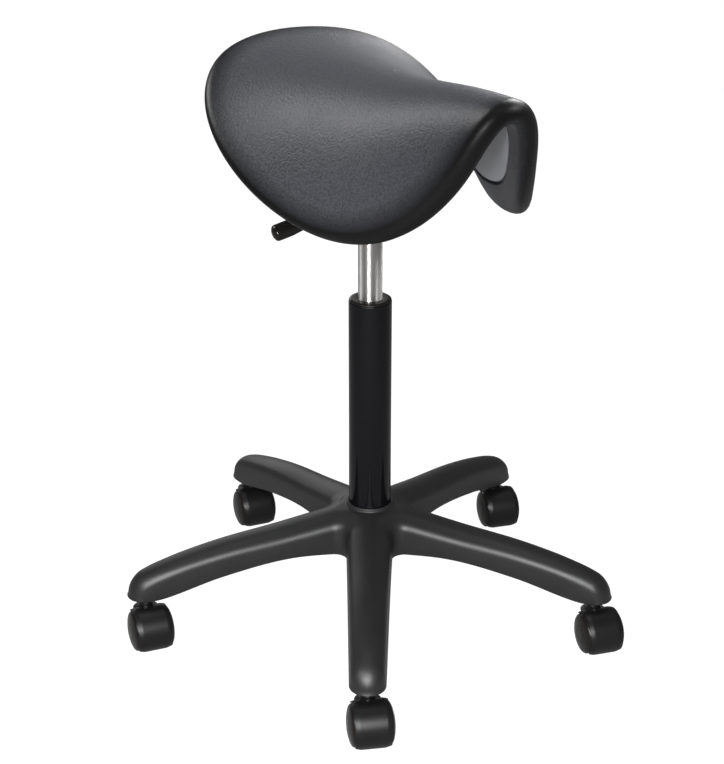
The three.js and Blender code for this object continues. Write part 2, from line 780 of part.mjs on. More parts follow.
// Casters: the stem stands on the origin of each caster's own group and the wheels trail towards -Y
function casterStem() {
  const radius = stemDiameter / 2;
  const collarBottom = casterHeight + clearance;
  const collarTop = collarBottom + stemCollarHeight;
  const groove = radius - gripGrooveDepth;
  return revolve(
    [
      [0, casterHeight - stemDepth],
      [radius, casterHeight - stemDepth],
      [radius, collarBottom],
      [stemCollarDiameter / 2, collarBottom],
      [stemCollarDiameter / 2, collarTop],
      [radius, collarTop],
      [radius, gripRingTop - gripRingHeight - clearance],
      [groove, gripRingTop - gripRingHeight - clearance],
      [groove, gripRingTop + clearance],
      [radius, gripRingTop + clearance],
      [radius - stemTipTaper, stemTop],
      [0, stemTop],
    ],
    casterSides,
  );
}

function gripRing() {
  const inner = stemDiameter / 2 - gripGrooveDepth + clearance;
  const bottom = gripRingTop - gripRingHeight;
  const whole = ring(inner, inner + gripRingWall, bottom, gripRingTop, casterSides);
  const split = block(stemDiameter, gripRingSplit, gripRingHeight + overrun);
  return cut(whole, split.translate(stemDiameter / 2, 0, gripRingTop - gripRingHeight / 2));
}

// Outline in the plane across the axle, swept along it; x of the outline becomes Y and y becomes Z
function alongAxle(shape, halfWidth) {
  const sweep = { depth: halfWidth * 2, bevelEnabled: false, curveSegments: hoodArcSteps };
  const geometry = new THREE.ExtrudeGeometry(shape, sweep);
  return geometry.translate(0, 0, -halfWidth).rotateY(Math.PI / 2).rotateX(Math.PI / 2);
}

function hoodSector(inner, outer) {
  const shape = new THREE.Shape();
  shape.absarc(-casterTrail, wheelRadius, outer, hoodFrontAngle, hoodBackAngle, false);
  if (inner > 0) {
    shape.absarc(-casterTrail, wheelRadius, inner, hoodBackAngle, hoodFrontAngle, true);
  } else {
    shape.lineTo(-casterTrail, wheelRadius);
  }
  return shape;
}

function casterHood() {
  const axleBossRadius = axleDiameter / 2 + stemBossWall;
  const innerFace = stemBossRadius;
  const cover = alongAxle(hoodSector(hoodInnerRadius, hoodOuterRadius), casterWidth / 2 - hoodInset);
  const web = alongAxle(hoodSector(0, hoodInnerRadius + hoodWall / 2), webThickness / 2);
  const acrossAxle = (radius, half) =>
    rod(radius, -half, half, casterSides).rotateY(Math.PI / 2).translate(0, -casterTrail, wheelRadius);
  const stemBoss = rod(stemBossRadius, casterHeight - stemDepth - stemBossWall, casterHeight, smallSides);
  const boreBottom = casterHeight - stemDepth - clearance;
  const stemBore = rod(stemDiameter / 2 + clearance, boreBottom, casterHeight + overrun, casterSides);
  const body = join(cover, web, acrossAxle(axleBossRadius, innerFace), stemBoss);
  return cut(body, stemBore, acrossAxle(axleDiameter / 2 + clearance, casterWidth));
}

function casterAxle() {
  const half = casterWidth / 2 - axleEndCover - clearance;
  return rod(axleDiameter / 2, -half, half, casterSides).rotateY(Math.PI / 2);
}

// Wheel with its axis along X, its inner face towards the stem and a flat of its tread on the floor
function casterWheel() {
  const tread = wheelRadius / Math.cos(Math.PI / wheelSides);
  const inner = stemBossRadius + clearance * 2;
  const outer = casterWidth / 2;
  const bore = axleDiameter / 2 + clearance;
  const hubRadius = bore + stemBossWall;
  const [domeRadius, domeHeight] = wheelDomeShares;
  return revolve(
    [
      [0, outer - axleEndCover],
      [bore, outer - axleEndCover],
      [bore, inner],
      [hubRadius, inner],
      [hubRadius, inner + wheelRecess],
      [tread - wheelRimWall, inner + wheelRecess],
      [tread - wheelRimWall, inner],
      [tread, inner],
      [tread, outer - wheelShoulder - wheelDome],
      [tread - wheelShoulder, outer - wheelDome],
      [tread * domeRadius, outer - wheelDome * (1 - domeHeight)],
      [0, outer],
    ],
    wheelSides,
    Math.PI / 2 + Math.PI / wheelSides,
  ).rotateY(Math.PI / 2);
}

// Seat mechanism
function mechanismPan() {
  const outer = panDiameter / 2;
  const flange = outer + panFlangeWidth;
  const top = padBottom - clearance;
  const hole = cylinderRadius + clearance;
  const dish = revolve(
    [
      [hole, panFloorBottom],
      [outer - panCorner, panFloorBottom],
      [outer, panFloorBottom + panCorner],
      [outer, top - panWall],
      [flange, top - panWall],
      [flange, top],
      [outer - panWall, top],
      [outer - panWall, panFloorTop + panCorner],
      [outer - panCorner - panWall / 2, panFloorTop],
      [hole, panFloorTop],
      [hole, panFloorBottom],
    ],
    panSides,
  );
  const rise = Math.sin(leverTravel) * (outer - leverPivotRadius);
  const slotHeight = leverRodDiameter + rise + panSlotPlay * 2;
  const slot = block(panWall + overrun * 2, leverRodDiameter + panSlotPlay * 2, slotHeight);
  slot.translate(outer - panWall / 2, 0, leverLevel + rise / 2).rotateZ(leverAzimuth);
  const holes = screwPlaces().map(([x, y]) =>
    rod(screwDiameter / 2 + clearance, top - panWall - overrun, top + overrun).translate(x, y, 0),
  );
  return cut(dish, slot, ...holes);
}

function taperSocket() {
  const narrow = cylinderRadius - taperNarrowing * ((panFloorBottom - taperBottom) / taperLength) + clearance;
  const wide = cylinderRadius + clearance;
  const top = panFloorBottom - clearance;
  return revolve([
    [wide, taperBottom],
    [wide + socketFootWall, taperBottom],
    [wide + socketWall, top - socketWall],
    [wide + socketWall, top],
    [narrow, top],
    [wide, taperBottom],
  ]);
}

// The lever's pieces are drawn along +X and turned to its azimuth with their group
function bracketEar(side) {
  const inner = leverHubWidth / 2 + clearance;
  const height = leverLevel - panFloorTop + leverHubDiameter / 2 - clearance;
  const ear = block(bracketLength, bracketThickness, height);
  const across = side * (inner + bracketThickness / 2);
  return ear.translate(leverPivotRadius, across, panFloorTop + clearance + height / 2);
}

function leverBracket() {
  const inner = leverHubWidth / 2 + clearance;
  const width = (inner + bracketThickness) * 2;
  const foot = block(bracketLength, width, bracketThickness);
  foot.translate(leverPivotRadius, 0, panFloorTop + clearance + bracketThickness / 2);
  const hole = rod(pivotDiameter / 2 + clearance, -width, width).rotateX(Math.PI / 2);
  return cut(join(foot, bracketEar(-1), bracketEar(1)), hole.translate(leverPivotRadius, 0, leverLevel));
}

function leverPivotPin() {
  const reach = leverHubWidth / 2 + clearance + bracketThickness + clearance;
  const radius = pivotDiameter / 2;
  const head = radius + pivotHead;
  return revolve(
    [
      [0, -reach - pivotHead],
      [head, -reach - pivotHead],
      [head, -reach],
      [radius, -reach],
      [radius, reach + pivotHead],
      [0, reach + pivotHead],
    ],
    smallSides,
  )
    .rotateX(Math.PI / 2)
    .translate(leverPivotRadius, 0, leverLevel);
}

function leverLine() {
  const knee = new THREE.Vector3(leverKneeRadius, 0, leverLevel);
  const foot = new THREE.Vector3(leverKneeRadius + leverKneeStep, 0, leverLevel - leverKneeDrop);
  const tip = new THREE.Vector3(leverTipRadius, 0, leverLevel - leverTipDrop);
  const start = new THREE.Vector3(-leverInnerReach, 0, leverLevel);
  return { start, knee, foot, tip };
}

function leverRod() {
  const { start, knee, foot, tip } = leverLine();
  const back = (from, to) => from.clone().add(to.clone().sub(from).setLength(leverBendLength));
  const rodEnd = foot.clone().lerp(tip, rodInGripShare);
  const path = new THREE.CurvePath();
  path.add(new THREE.LineCurve3(start, back(knee, start)));
  path.add(new THREE.QuadraticBezierCurve3(back(knee, start), knee, back(knee, foot)));
  path.add(new THREE.LineCurve3(back(knee, foot), back(foot, knee)));
  path.add(new THREE.QuadraticBezierCurve3(back(foot, knee), foot, back(foot, tip)));
  path.add(new THREE.LineCurve3(back(foot, tip), rodEnd));
  const section = new THREE.Shape();
  section.absarc(0, 0, leverRodDiameter / 2, 0, Math.PI * 2, false);
  const sweep = { extrudePath: path, steps: leverSteps, curveSegments: leverSideSteps };
  const bar = new THREE.ExtrudeGeometry(section, sweep);
  const hub = rod(leverHubDiameter / 2, -leverHubWidth / 2, leverHubWidth / 2).rotateX(Math.PI / 2);
  const hole = rod(pivotDiameter / 2 + clearance, -leverHubWidth, leverHubWidth).rotateX(Math.PI / 2);
  const place = (piece) => piece.translate(leverPivotRadius, 0, leverLevel);
  return cut(join(bar, place(hub)), place(hole));
}

function leverGrip() {
  const { foot, tip } = leverLine();
  const along = tip.clone().sub(foot).normalize();
  const rodEnd = foot.clone().lerp(tip, rodInGripShare);
  const boreEnd = gripLength - tip.distanceTo(rodEnd) + clearance;
  const bore = leverRodDiameter / 2 + clearance;
  const radius = gripDiameter / 2;
  const swell = gripSwellShares.map(([out, up]) => [radius * out, gripLength * up]);
  const rounding = gripTipRounding;
  const end = gripTipShares.map(([side, below]) => [radius - rounding * side, gripLength - rounding * below]);
  const grip = revolve(
    [
      [bore, 0],
      [gripNeckDiameter / 2, 0],
      ...swell,
      ...end,
      [0, gripLength],
      [0, boreEnd],
      [bore, boreEnd],
      [bore, 0],
    ],
    smallSides,
  );
  const turn = new THREE.Quaternion().setFromUnitVectors(new THREE.Vector3(0, 0, 1), along);
  const start = tip.clone().addScaledVector(along, -gripLength);
  return grip.applyQuaternion(turn).translate(start.x, start.y, start.z);
}

function mountScrew() {
  const shankTop = padBottom + screwLength - clearance;
  const headTop = padBottom - clearance - panWall - clearance;
  const headBottom = headTop - screwHeadHeight;
  return revolve(
    [
      [0, headBottom + screwSocketDepth],
      [screwSocketDiameter / 2, headBottom + screwSocketDepth],
      [screwSocketDiameter / 2, headBottom],
      [screwHeadDiameter / 2, headBottom],
      [screwHeadDiameter / 2, headTop],
      [screwDiameter / 2, headTop],
      [screwDiameter / 2, shankTop],
      [0, shankTop],
    ],
    smallSides,
  );
}

// Scene graph
function named(name, geometry, material) {
  const mesh = new THREE.Mesh(geometry, material);
  mesh.name = name;
  return mesh;
}

function baseGroup() {
  const group = new THREE.Group();
  group.add(named("five_star_base", fiveStarBase(), blackNylon));
  group.add(named("hub_ring", hubRing(), zincSteel));
  return group;
}

function columnGroup() {
  const group = new THREE.Group();
  const washer = (bottom) => ring(neckHole, washerOuterDiameter / 2, bottom, bottom + washerThickness);
  const pistonBore = pistonNeckDiameter / 2 + clearance;
  const pistonRim = cylinderBore - clearance;
  const piston = ring(pistonBore, pistonRim, pistonBottom, pistonBottom + pistonHeight);
  const glandBottom = cylinderBottom + cylinderCrimp + clearance;
  const gland = ring(rodRadius + clearance, cylinderBore - clearance, glandBottom, glandBottom + glandHeight);
  group.add(named("stand_tube", standTube(), paintedTube));
  group.add(named("guide_bush", guideBush(), blackPlastic));
  group.add(named("lower_washer", washer(lowerWasherBottom), zincSteel));
  group.add(named("ball_cage", ballCage(), zincSteel));
  group.add(named("upper_washer", washer(upperWasherBottom), zincSteel));
  group.add(named("buffer", buffer(), rubber));
  group.add(named("retaining_clip", retainingClip(), zincSteel));
  group.add(named("piston_rod", pistonRod(), brightSteel));
  group.add(named("piston", piston, zincSteel));
  group.add(named("cylinder_gland", gland, blackPlastic));
  group.add(named("gas_cylinder", gasCylinder(), brightSteel));
  group.add(named("release_pin", releasePin(), brightSteel));
  return group;
}

function casterGroup(index) {
  const group = new THREE.Group();
  const name = (piece) => `caster_${index + 1}_${piece}`;
  group.add(named(name("stem"), casterStem(), zincSteel));
  group.add(named(name("grip_ring"), gripRing(), zincSteel));
  group.add(named(name("hood"), casterHood(), blackNylon));
  const wheels = new THREE.Group();
  wheels.position.set(0, -casterTrail, wheelRadius);
  wheels.add(named(name("axle"), casterAxle(), zincSteel));
  wheels.add(named(name("wheel_right"), casterWheel(), blackPlastic));
  const left = named(name("wheel_left"), casterWheel(), blackPlastic);
  left.rotation.z = Math.PI;
  wheels.add(left);
  group.add(wheels);
  const angle = armAngle(index);
  group.position.set(casterCircleRadius * Math.cos(angle), casterCircleRadius * Math.sin(angle), 0);
  group.rotation.z = casterHeadings[index % casterHeadings.length];
  return group;
}

function seatGroup() {
  const group = new THREE.Group();
  const saddleFrame = new THREE.Group();
  saddleFrame.add(named("saddle_cover", saddleCover(), skinFoam));
  saddleFrame.add(named("saddle_shell", saddleShell(), greyPanel));
  saddleFrame.add(named("mounting_pad", mountingPad(), plywood));
  const upward = new THREE.Vector3(0, 0, 1);
  saddleFrame.position.set(-seatSetback, 0, seatHeight).applyAxisAngle(upward, -seatHeading);
  saddleFrame.rotation.z = -seatHeading;
  group.add(saddleFrame);
  group.add(named("mechanism_pan", mechanismPan(), pressedSteel));
  group.add(named("taper_socket", taperSocket(), pressedSteel));
  screwPlaces().forEach(([x, y], i) => {
    const screw = named(`mount_screw_${i + 1}`, mountScrew(), zincSteel);
    screw.position.set(x, y, 0);
    group.add(screw);
  });
  const lever = new THREE.Group();
  lever.add(named("lever_bracket", leverBracket(), pressedSteel));
  lever.add(named("lever_pivot_pin", leverPivotPin(), zincSteel));
  lever.add(named("lever_rod", leverRod(), zincSteel));
  lever.add(named("lever_grip", leverGrip(), blackPlastic));
  lever.rotation.z = leverAzimuth;
  group.add(lever);
  return group;
}

const stool = new THREE.Group();
stool.add(baseGroup(), columnGroup(), seatGroup());
for (let i = 0; i < armCount; i++) stool.add(casterGroup(i));

// The origin is on the floor, under the middle of the space that the stool fills
stool.updateMatrixWorld(true);
const filled = new THREE.Box3().setFromObject(stool, true);
const middle = filled.getCenter(new THREE.Vector3());
stool.position.set(-middle.x, -middle.y, -filled.min.z);

export default stool;
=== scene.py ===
# %% [markdown]
# # A saddle stool
# The stool has a moulded saddle on a gas lift, and a black star base on five twin-wheel casters.
# The CAD model already fixes every size, place and joint, so this lesson only gives it its looks.
# Each piece is built where the CAD node of the same name lies, and then rides on the same body.

# %% Load the frame
import json
import math

import bmesh
import bpy
import numpy as np
from mathutils import Matrix, Vector

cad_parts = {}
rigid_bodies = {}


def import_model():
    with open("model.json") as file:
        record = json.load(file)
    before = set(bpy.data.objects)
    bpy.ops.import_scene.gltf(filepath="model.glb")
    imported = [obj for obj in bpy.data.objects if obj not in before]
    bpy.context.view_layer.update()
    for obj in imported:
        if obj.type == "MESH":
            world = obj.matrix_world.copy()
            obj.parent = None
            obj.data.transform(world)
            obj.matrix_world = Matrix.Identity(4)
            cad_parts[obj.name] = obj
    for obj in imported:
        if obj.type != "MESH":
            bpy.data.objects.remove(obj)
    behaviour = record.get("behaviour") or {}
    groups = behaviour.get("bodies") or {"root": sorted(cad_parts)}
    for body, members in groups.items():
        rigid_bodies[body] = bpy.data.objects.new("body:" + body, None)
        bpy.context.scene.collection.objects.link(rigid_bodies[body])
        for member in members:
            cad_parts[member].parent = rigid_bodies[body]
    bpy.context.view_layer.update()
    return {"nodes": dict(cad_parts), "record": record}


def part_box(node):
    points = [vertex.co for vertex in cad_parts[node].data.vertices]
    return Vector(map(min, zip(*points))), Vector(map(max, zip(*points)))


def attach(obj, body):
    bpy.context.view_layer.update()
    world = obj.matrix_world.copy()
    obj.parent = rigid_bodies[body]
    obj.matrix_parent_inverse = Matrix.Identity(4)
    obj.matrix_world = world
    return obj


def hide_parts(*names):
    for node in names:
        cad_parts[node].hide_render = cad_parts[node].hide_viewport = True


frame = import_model()
MM = 0.001

# %% [markdown]
# ## Where the column stands
# Nearly everything is measured from the axis of the column. The stand tube is round, so the middle
# of its box gives that axis. The floor is at zero.

# %% The column's axis
tube_low, tube_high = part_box("stand_tube")
column = Vector(((tube_low.x + tube_high.x) / 2, (tube_low.y + tube_high.y) / 2, 0))
print("column axis at", [round(v, 5) for v in column])

# %% [markdown]
# ## The camera
# The photograph was taken from about two metres away and a little over a metre up, looking down on
# the stool. The place and the focal length were worked out from the five casters, which stand on one
# circle, and from the tube, whose diameter is standard. A long lens keeps the column nearly parallel.

# %% Camera
def add_object(name, data):
    """A new object in the scene."""
    made = bpy.data.objects.new(name, data)
    bpy.context.scene.collection.objects.link(made)
    return made


CAMERA_FROM_COLUMN = Vector((0.0136, -1.9422, 1.1533))
CAMERA_PITCH = math.radians(66.18)
CAMERA_YAW = math.radians(0.68)
CAMERA_LENS = 85.57
camera_data = bpy.data.cameras.new("camera")
camera_data.lens = CAMERA_LENS
camera_data.sensor_width = 36
camera = add_object("camera", camera_data)
camera.location = column + CAMERA_FROM_COLUMN
camera.rotation_euler = (CAMERA_PITCH, 0, CAMERA_YAW)
bpy.context.scene.camera = camera
print("camera at", [round(v, 3) for v in camera.location])

# %% [markdown]
# ## Shapes from profiles
# Most pieces of the stool were turned, moulded or bent from one section. So three small helpers
# carry nearly all of the modelling: one rounds the corners of a profile, one spins it about an axis,
# and one joins a row of loops into a skin. Drawing each corner as a real arc gives edges that catch
# the light, which a bevel modifier would only guess at.

# %% Rounded profile
STRAIGHT = 1.55
ARC_SHARE = 0.49


def rounded(corners, steps=5):
    """The points of a profile whose (x, y, fillet radius) corners are drawn as arcs."""
    corners = [np.array(c, float) for c in corners]
    points = [corners[0][:2]]
    for before, corner, after in zip(corners, corners[1:], corners[2:]):
        back, ahead = before[:2] - corner[:2], after[:2] - corner[:2]
        back_length, ahead_length = np.linalg.norm(back), np.linalg.norm(ahead)
        back, ahead = back / back_length, ahead / ahead_length
        half = math.acos(np.clip(back @ ahead, -1, 1)) / 2
        if corner[2] == 0 or half > STRAIGHT:
            points.append(corner[:2])
            continue
        reach = min(corner[2] / math.tan(half), back_length * ARC_SHARE, ahead_length * ARC_SHARE)
        start, end = corner[:2] + back * reach, corner[:2] + ahead * reach
        centre = corner[:2] + (back + ahead) / np.linalg.norm(back + ahead) * reach / math.cos(half)
        for share in np.linspace(0, 1, steps + 1):
            chord = start + (end - start) * share - centre
            points.append(centre + chord / np.linalg.norm(chord) * np.linalg.norm(start - centre))
    points.append(corners[-1][:2])
    return np.array(points)


print("points of a rounded square corner:", len(rounded([(0, 0, 0), (1, 0, 0.2), (1, 1, 0)])))


# %% Loops into a skin, and a profile into a turned shape
def full_turn(count):
    """Angles that share out a full turn evenly."""
    return np.linspace(0, 2 * math.pi, count, endpoint=False)


def circle(angles):
    """Points at some angles on a circle with the radius one."""
    return np.stack([np.cos(angles), np.sin(angles)], -1)


def grid_faces(rows, columns, around=False, start=0):
    """Quads between neighbouring rows of points, closed round where the rows are loops."""
    faces = []
    for i in range(rows - 1):
        for j in range(columns if around else columns - 1):
            a, b = start + i * columns + j, start + i * columns + (j + 1) % columns
            faces.append((a, b, b + columns, a + columns))
    return faces


def loft(loops, caps=True):
    """Quads between neighbouring closed loops, with a fan to the middle of each end."""
    loops = np.asarray(loops, float)
    rows, columns = loops.shape[:2]
    points = [tuple(p) for p in loops.reshape(-1, 3)]
    faces = grid_faces(rows, columns, around=True)
    for end in (0, rows - 1) if caps else ():
        points.append(tuple(loops[end].mean(axis=0)))
        middle, start = len(points) - 1, end * columns
        faces += [(start + j, start + (j + 1) % columns, middle) for j in range(columns)]
    return points, faces


def turned(corners, sides=96, steps=5):
    """A rounded profile of (radius, height, fillet radius) corners, spun about the Z axis."""
    ring = circle(full_turn(sides))
    loops = [np.column_stack([ring * r, np.full(sides, h)]) for r, h in rounded(corners, steps)]
    return loft(loops, caps=False)


def joined(*shapes):
    """Several (points, faces) shapes as one."""
    points, faces = [], []
    for more_points, more_faces in shapes:
        start = len(points)
        points += list(more_points)
        faces += [tuple(start + i for i in face) for face in more_faces]
    return points, faces


def moved(shape, matrix):
    """A shape placed by a 4 x 4 matrix."""
    points, faces = shape
    return [tuple(matrix @ Vector(p)) for p in points], faces


print("a turned cup has", len(turned([(0, 0, 0), (1, 0, 0), (1, 1, 0)])[1]), "faces")

# %% A piece that rides on a body
MERGE_DISTANCE = 1e-6
SHARP_ANGLE = math.radians(32)


def add_mesh(name, shape, unit):
    """A mesh object in the frame, from a shape about the column's axis in some unit."""
    points, faces = shape
    mesh = bpy.data.meshes.new(name)
    mesh.from_pydata([tuple(Vector(p) * unit + column) for p in points], [], faces)
    return add_object(name, mesh)


def add_piece(name, shape, body, material, replaces, sharp=SHARP_ANGLE):
    """A piece from a shape in millimetres, riding on a body and standing in for a CAD node."""
    made = add_mesh(name, shape, MM)
    mesh = made.data
    work = bmesh.new()
    work.from_mesh(mesh)
    bmesh.ops.remove_doubles(work, verts=work.verts, dist=MERGE_DISTANCE)
    bmesh.ops.recalc_face_normals(work, faces=work.faces)
    work.to_mesh(mesh)
    work.free()
    mesh.shade_smooth()
    mesh.set_sharp_from_angle(angle=sharp)
    mesh.materials.append(material)
    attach(made, body)
    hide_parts(replaces)
    return made


print("merge distance:", MERGE_DISTANCE, "m")

# %% [markdown]
# ## The studio
# The stool was photographed on white, and its own surface tells how it was lit. The black arms are
# dark on top and carry one broad, soft line along their front shoulders, so the main light stood
# low and wide in front of them. The saddle is brightest where it is seen at a grazing angle, so more
# light came over it from behind and from both sides. Everything else around it was dim: a dark room
# is what gives black plastic its depth and chrome its stripes.

# %% Colour and node helpers
def linear(hex_colour):
    """An sRGB hex colour as the linear RGBA that shaders use."""
    channels = [int(hex_colour[i : i + 2], 16) / 255 for i in (1, 3, 5)]
    return [c / 12.92 if c <= 0.04045 else ((c + 0.055) / 1.055) ** 2.4 for c in channels] + [1]


def feed(tree, entry, value):
    """Gives an input a number, a hex colour or the output of another node."""
    if isinstance(value, bpy.types.NodeSocket):
        tree.links.new(value, entry)
    else:
        entry.default_value = linear(value) if isinstance(value, str) else value


def add_node(tree, kind, settings):
    """Adds a node and gives its properties and inputs their values."""
    node = tree.nodes.new(kind)
    for key, value in settings.items():
        if isinstance(key, int) or key in node.inputs:
            feed(tree, node.inputs[key], value)
        else:
            setattr(node, key, value)
    return node


def new_material(name, settings):
    """A material whose Principled shader has the given inputs."""
    material = bpy.data.materials.new(name)
    material.use_nodes = True
    tree = material.node_tree
    for key, value in settings.items():
        feed(tree, tree.nodes["Principled BSDF"].inputs[key], value)
    return material


print("mid grey in linear light:", round(linear("#808080")[0], 3))

# %% [markdown]
# ### Floor and backdrop
# The photograph's floor and background are pure white, and yet nothing white shows in the tube or
# under the arms. So the white floor and the round white wall are there for the camera alone, with
# just enough tone to take a faint shadow. A grey table lies right under that floor, hidden from the
# camera, and everything else in the scene sees the table instead.

# %% Floor, table and backdrop
FLOOR_RADIUS = 9
WALL_HEIGHT, WALL_FOOT = 8, 2
TABLE_DEPTH = 2 * MM
SIGHT_OF_OTHERS = ("visible_diffuse", "visible_glossy", "visible_transmission", "visible_shadow")


def matt_white(name, colour, glow):
    """A matt finish that also gives off a little light of its own."""
    matt = {"Base Color": colour, "Roughness": 0.9, "Specular IOR Level": 0.0}
    return new_material(name, matt | {"Emission Color": "#ffffff", "Emission Strength": glow})


def stage_ring(name, profile, material, hidden_from):
    """A round piece of the set about the column, from a profile of (radius, height) in metres."""
    ring = add_mesh(name, turned([(*point, 0) for point in profile]), 1)
    ring.data.shade_smooth()
    ring.data.materials.append(material)
    for kind in hidden_from:
        setattr(ring, kind, False)
    return ring


def disc(height):
    """The profile of a flat disc with a pinhole in its middle."""
    return [(radius, height) for radius in (MM, 1, FLOOR_RADIUS)]


bends = np.linspace(0, math.pi / 2, 12)
wall = [(FLOOR_RADIUS - WALL_FOOT * (1 - math.sin(a)), WALL_FOOT * (1 - math.cos(a))) for a in bends]
wall.append((FLOOR_RADIUS, WALL_HEIGHT))
floor_paper = matt_white("white_floor", "#6a6a6a", 0.975)
wall_paper = matt_white("white_wall", "#000000", 1.0)
grey_paint = matt_white("grey_table", "#7c7c7c", 0.2)
white_floor = stage_ring("studio_floor", disc(0), floor_paper, SIGHT_OF_OTHERS)
white_wall = stage_ring("studio_wall", wall, wall_paper, SIGHT_OF_OTHERS)
table = stage_ring("studio_table", disc(-TABLE_DEPTH), grey_paint, ["visible_camera"])
print("stage pieces:", white_floor.name, white_wall.name, table.name)

# %% [markdown]
# ### Lights
# Every light is a soft box, and each serves one part of the stool: a wide, low one in front of the
# base, smaller ones behind and beside the saddle, and a slim strip for the gas cylinder.

# %% Lights and room
WIDE_BEAM = 120
BASE_AIM, SEAT_AIM = 0.1, 0.5
SEAT_DISTANCE = 1.9
SEAT_BOX = (0.8, 0.8)
BASE_LIGHTS = (
    ("front", -93, 27, 2.4, (1.5, 1.1), 50),
    ("left", -128, 32, 2.4, (0.7, 0.7), 8),
    ("overhead", 90, 80, 1.9, (1.0, 1.0), 3),
    ("back", 110, 18, 2.4, (1.6, 0.8), 3),
)
SEAT_LIGHTS = (
    ("right_back", 60, 39, 20),
    ("left_back", 155, 39, 11),
    ("right", 25, 39, 5),
    ("right_front", -20, 34, 10),
    ("front_high", -90, 62, 1.5),
)


def soft_box(name, azimuth, elevation, distance, size, power, aim, beam=WIDE_BEAM):
    """A studio light, its azimuth counted from the stool's right, its aim a height in metres."""
    data = bpy.data.lights.new(name, "AREA")
    data.shape = "RECTANGLE"
    data.size, data.size_y = size
    data.energy = power
    data.spread = math.radians(beam)
    light = add_object(name, data)
    around, up = math.radians(azimuth), math.radians(elevation)
    toward = Vector((math.cos(up) * math.cos(around), math.cos(up) * math.sin(around), math.sin(up)))
    light.location = Vector((column.x, column.y, aim)) + toward * distance
    light.rotation_euler = (-toward).to_track_quat("-Z", "Y").to_euler()
    light.visible_camera = False


for name, azimuth, elevation, distance, size, power in BASE_LIGHTS:
    soft_box(f"base_{name}", azimuth, elevation, distance, size, power, BASE_AIM)
for name, azimuth, elevation, power in SEAT_LIGHTS:
    soft_box(f"seat_{name}", azimuth, elevation, SEAT_DISTANCE, SEAT_BOX, power, SEAT_AIM)
soft_box("seat_strip", -102, 8, 1.6, (0.08, 0.5), 0.8, 0.47, beam=24)
world = bpy.data.worlds.new("dim_room")
bpy.context.scene.world = world
world.use_nodes = True
room = world.node_tree.nodes["Background"]
room.inputs["Color"].default_value = linear("#f2f3f5")
room.inputs["Strength"].default_value = 0.15
bpy.context.scene.view_settings.view_transform = "Standard"

# %% [markdown]
# ## Materials
# Every finish starts from what the real part is made of and how its surface was formed. Most are
# black or grey plastics, so they differ less in colour than in gloss and grain: that is what lets
# the eye tell foam from nylon and paint from chrome. Each one is a small function that turns the
# object's own coordinates, in metres, into inputs for the shader. A slow noise varies colour or
# gloss, and a fine one raises the grain.

# %% Patterns that the finishes share
def noise(tree, place, size, detail):
    """Noise with features of a size in metres."""
    settings = {"Scale": 1 / size, "Detail": detail, "Vector": place}
    return add_node(tree, "ShaderNodeTexNoise", settings).outputs["Fac"]


def mixed(tree, share, first, second):
    """A colour between two others, each of them a hex colour or a socket."""
    settings = {"data_type": "RGBA", 0: share, 6: first, 7: second}
    return add_node(tree, "ShaderNodeMix", settings).outputs[2]


def ranged(tree, share, low, high):
    """A number that goes from low to high with the share."""
    settings = {"To Min": low, "To Max": high, "Value": share}
    return add_node(tree, "ShaderNodeMapRange", settings).outputs[0]


def raised(tree, height, depth, strength):
    """A normal that follows a height, for grain of a depth in metres."""
    settings = {"Distance": depth, "Height": height, "Strength": strength}
    return add_node(tree, "ShaderNodeBump", settings).outputs["Normal"]


def finish(name, colour, roughness, pattern, metallic=0.0):
    """A Principled material with plain values, then with what its pattern makes of the place."""
    plain = {"Base Color": colour, "Roughness": roughness, "Metallic": metallic}
    material = new_material(name, plain)
    tree = material.node_tree
    place = add_node(tree, "ShaderNodeTexCoord", {}).outputs["Object"]
    for key, value in pattern(tree, place).items():
        feed(tree, tree.nodes["Principled BSDF"].inputs[key], value)
    print(name, "has", len(tree.nodes), "nodes")
    return material


print("a scale is one over a real size, so 2 mm grain has the scale", 1 / (2 * MM))

# %% [markdown]
# ### Integral-skin polyurethane foam
# The saddle is foam that formed its own tough skin against the mould. The mould was etched with a
# leather grain, so the skin has small pebbles about a millimetre across. It looks like soft grey
# vinyl: a wide, weak highlight broken into fine speckles, and slightly uneven in tone. Along the
# rolled rim, where the mould closed, the skin is smoother, and its colour is also darkened there as
# painted shade, since the rim curves down away from the light. The pebbles are drawn about twice as
# coarse as real, because finer ones would blur away at this distance.

# %% Skin foam
GRAIN_SIZE = 2.3 * MM
GRAIN_DEPTH = 0.34 * MM
FINE_GRAIN = GRAIN_SIZE / 1.6
BLOTCH_SIZE = 45 * MM


def skin_foam(tree, place):
    """Fine noise less the distance to each pebble's middle gives both the grain and the speckle."""
    settings = {"feature": "SMOOTH_F1", "Scale": 1 / GRAIN_SIZE, "Vector": place}
    pebbles = add_node(tree, "ShaderNodeTexVoronoi", settings).outputs["Distance"]
    settings = {"operation": "SUBTRACT", 0: noise(tree, place, FINE_GRAIN, 2), 1: pebbles}
    height = add_node(tree, "ShaderNodeMath", settings).outputs[0]
    settings = {"From Min": -0.3, "From Max": 0.5, "To Max": 0.6, "Value": height}
    speckle = add_node(tree, "ShaderNodeMapRange", settings).outputs[0]
    blotches = noise(tree, place, BLOTCH_SIZE, 4)
    skin = mixed(tree, speckle, mixed(tree, blotches, "#2d2e31", "#333438"), "#4d4e54")
    # Towards the rim the skin colour is mixed towards #0b0b0c as painted shade, and the grain is smoothed.
    rim = add_node(tree, "ShaderNodeAttribute", {"attribute_name": "rim_band"}).outputs["Fac"]
    return {
        "Base Color": mixed(tree, rim, skin, "#0b0b0c"),
        "Roughness": ranged(tree, blotches, 0.46, 0.38),
        "Normal": raised(tree, height, GRAIN_DEPTH, ranged(tree, rim, 0.9, 0.25)),
        "Specular IOR Level": 0.2,
    }


FOAM = finish("integral_skin_foam", "#36373a", 0.4, skin_foam)

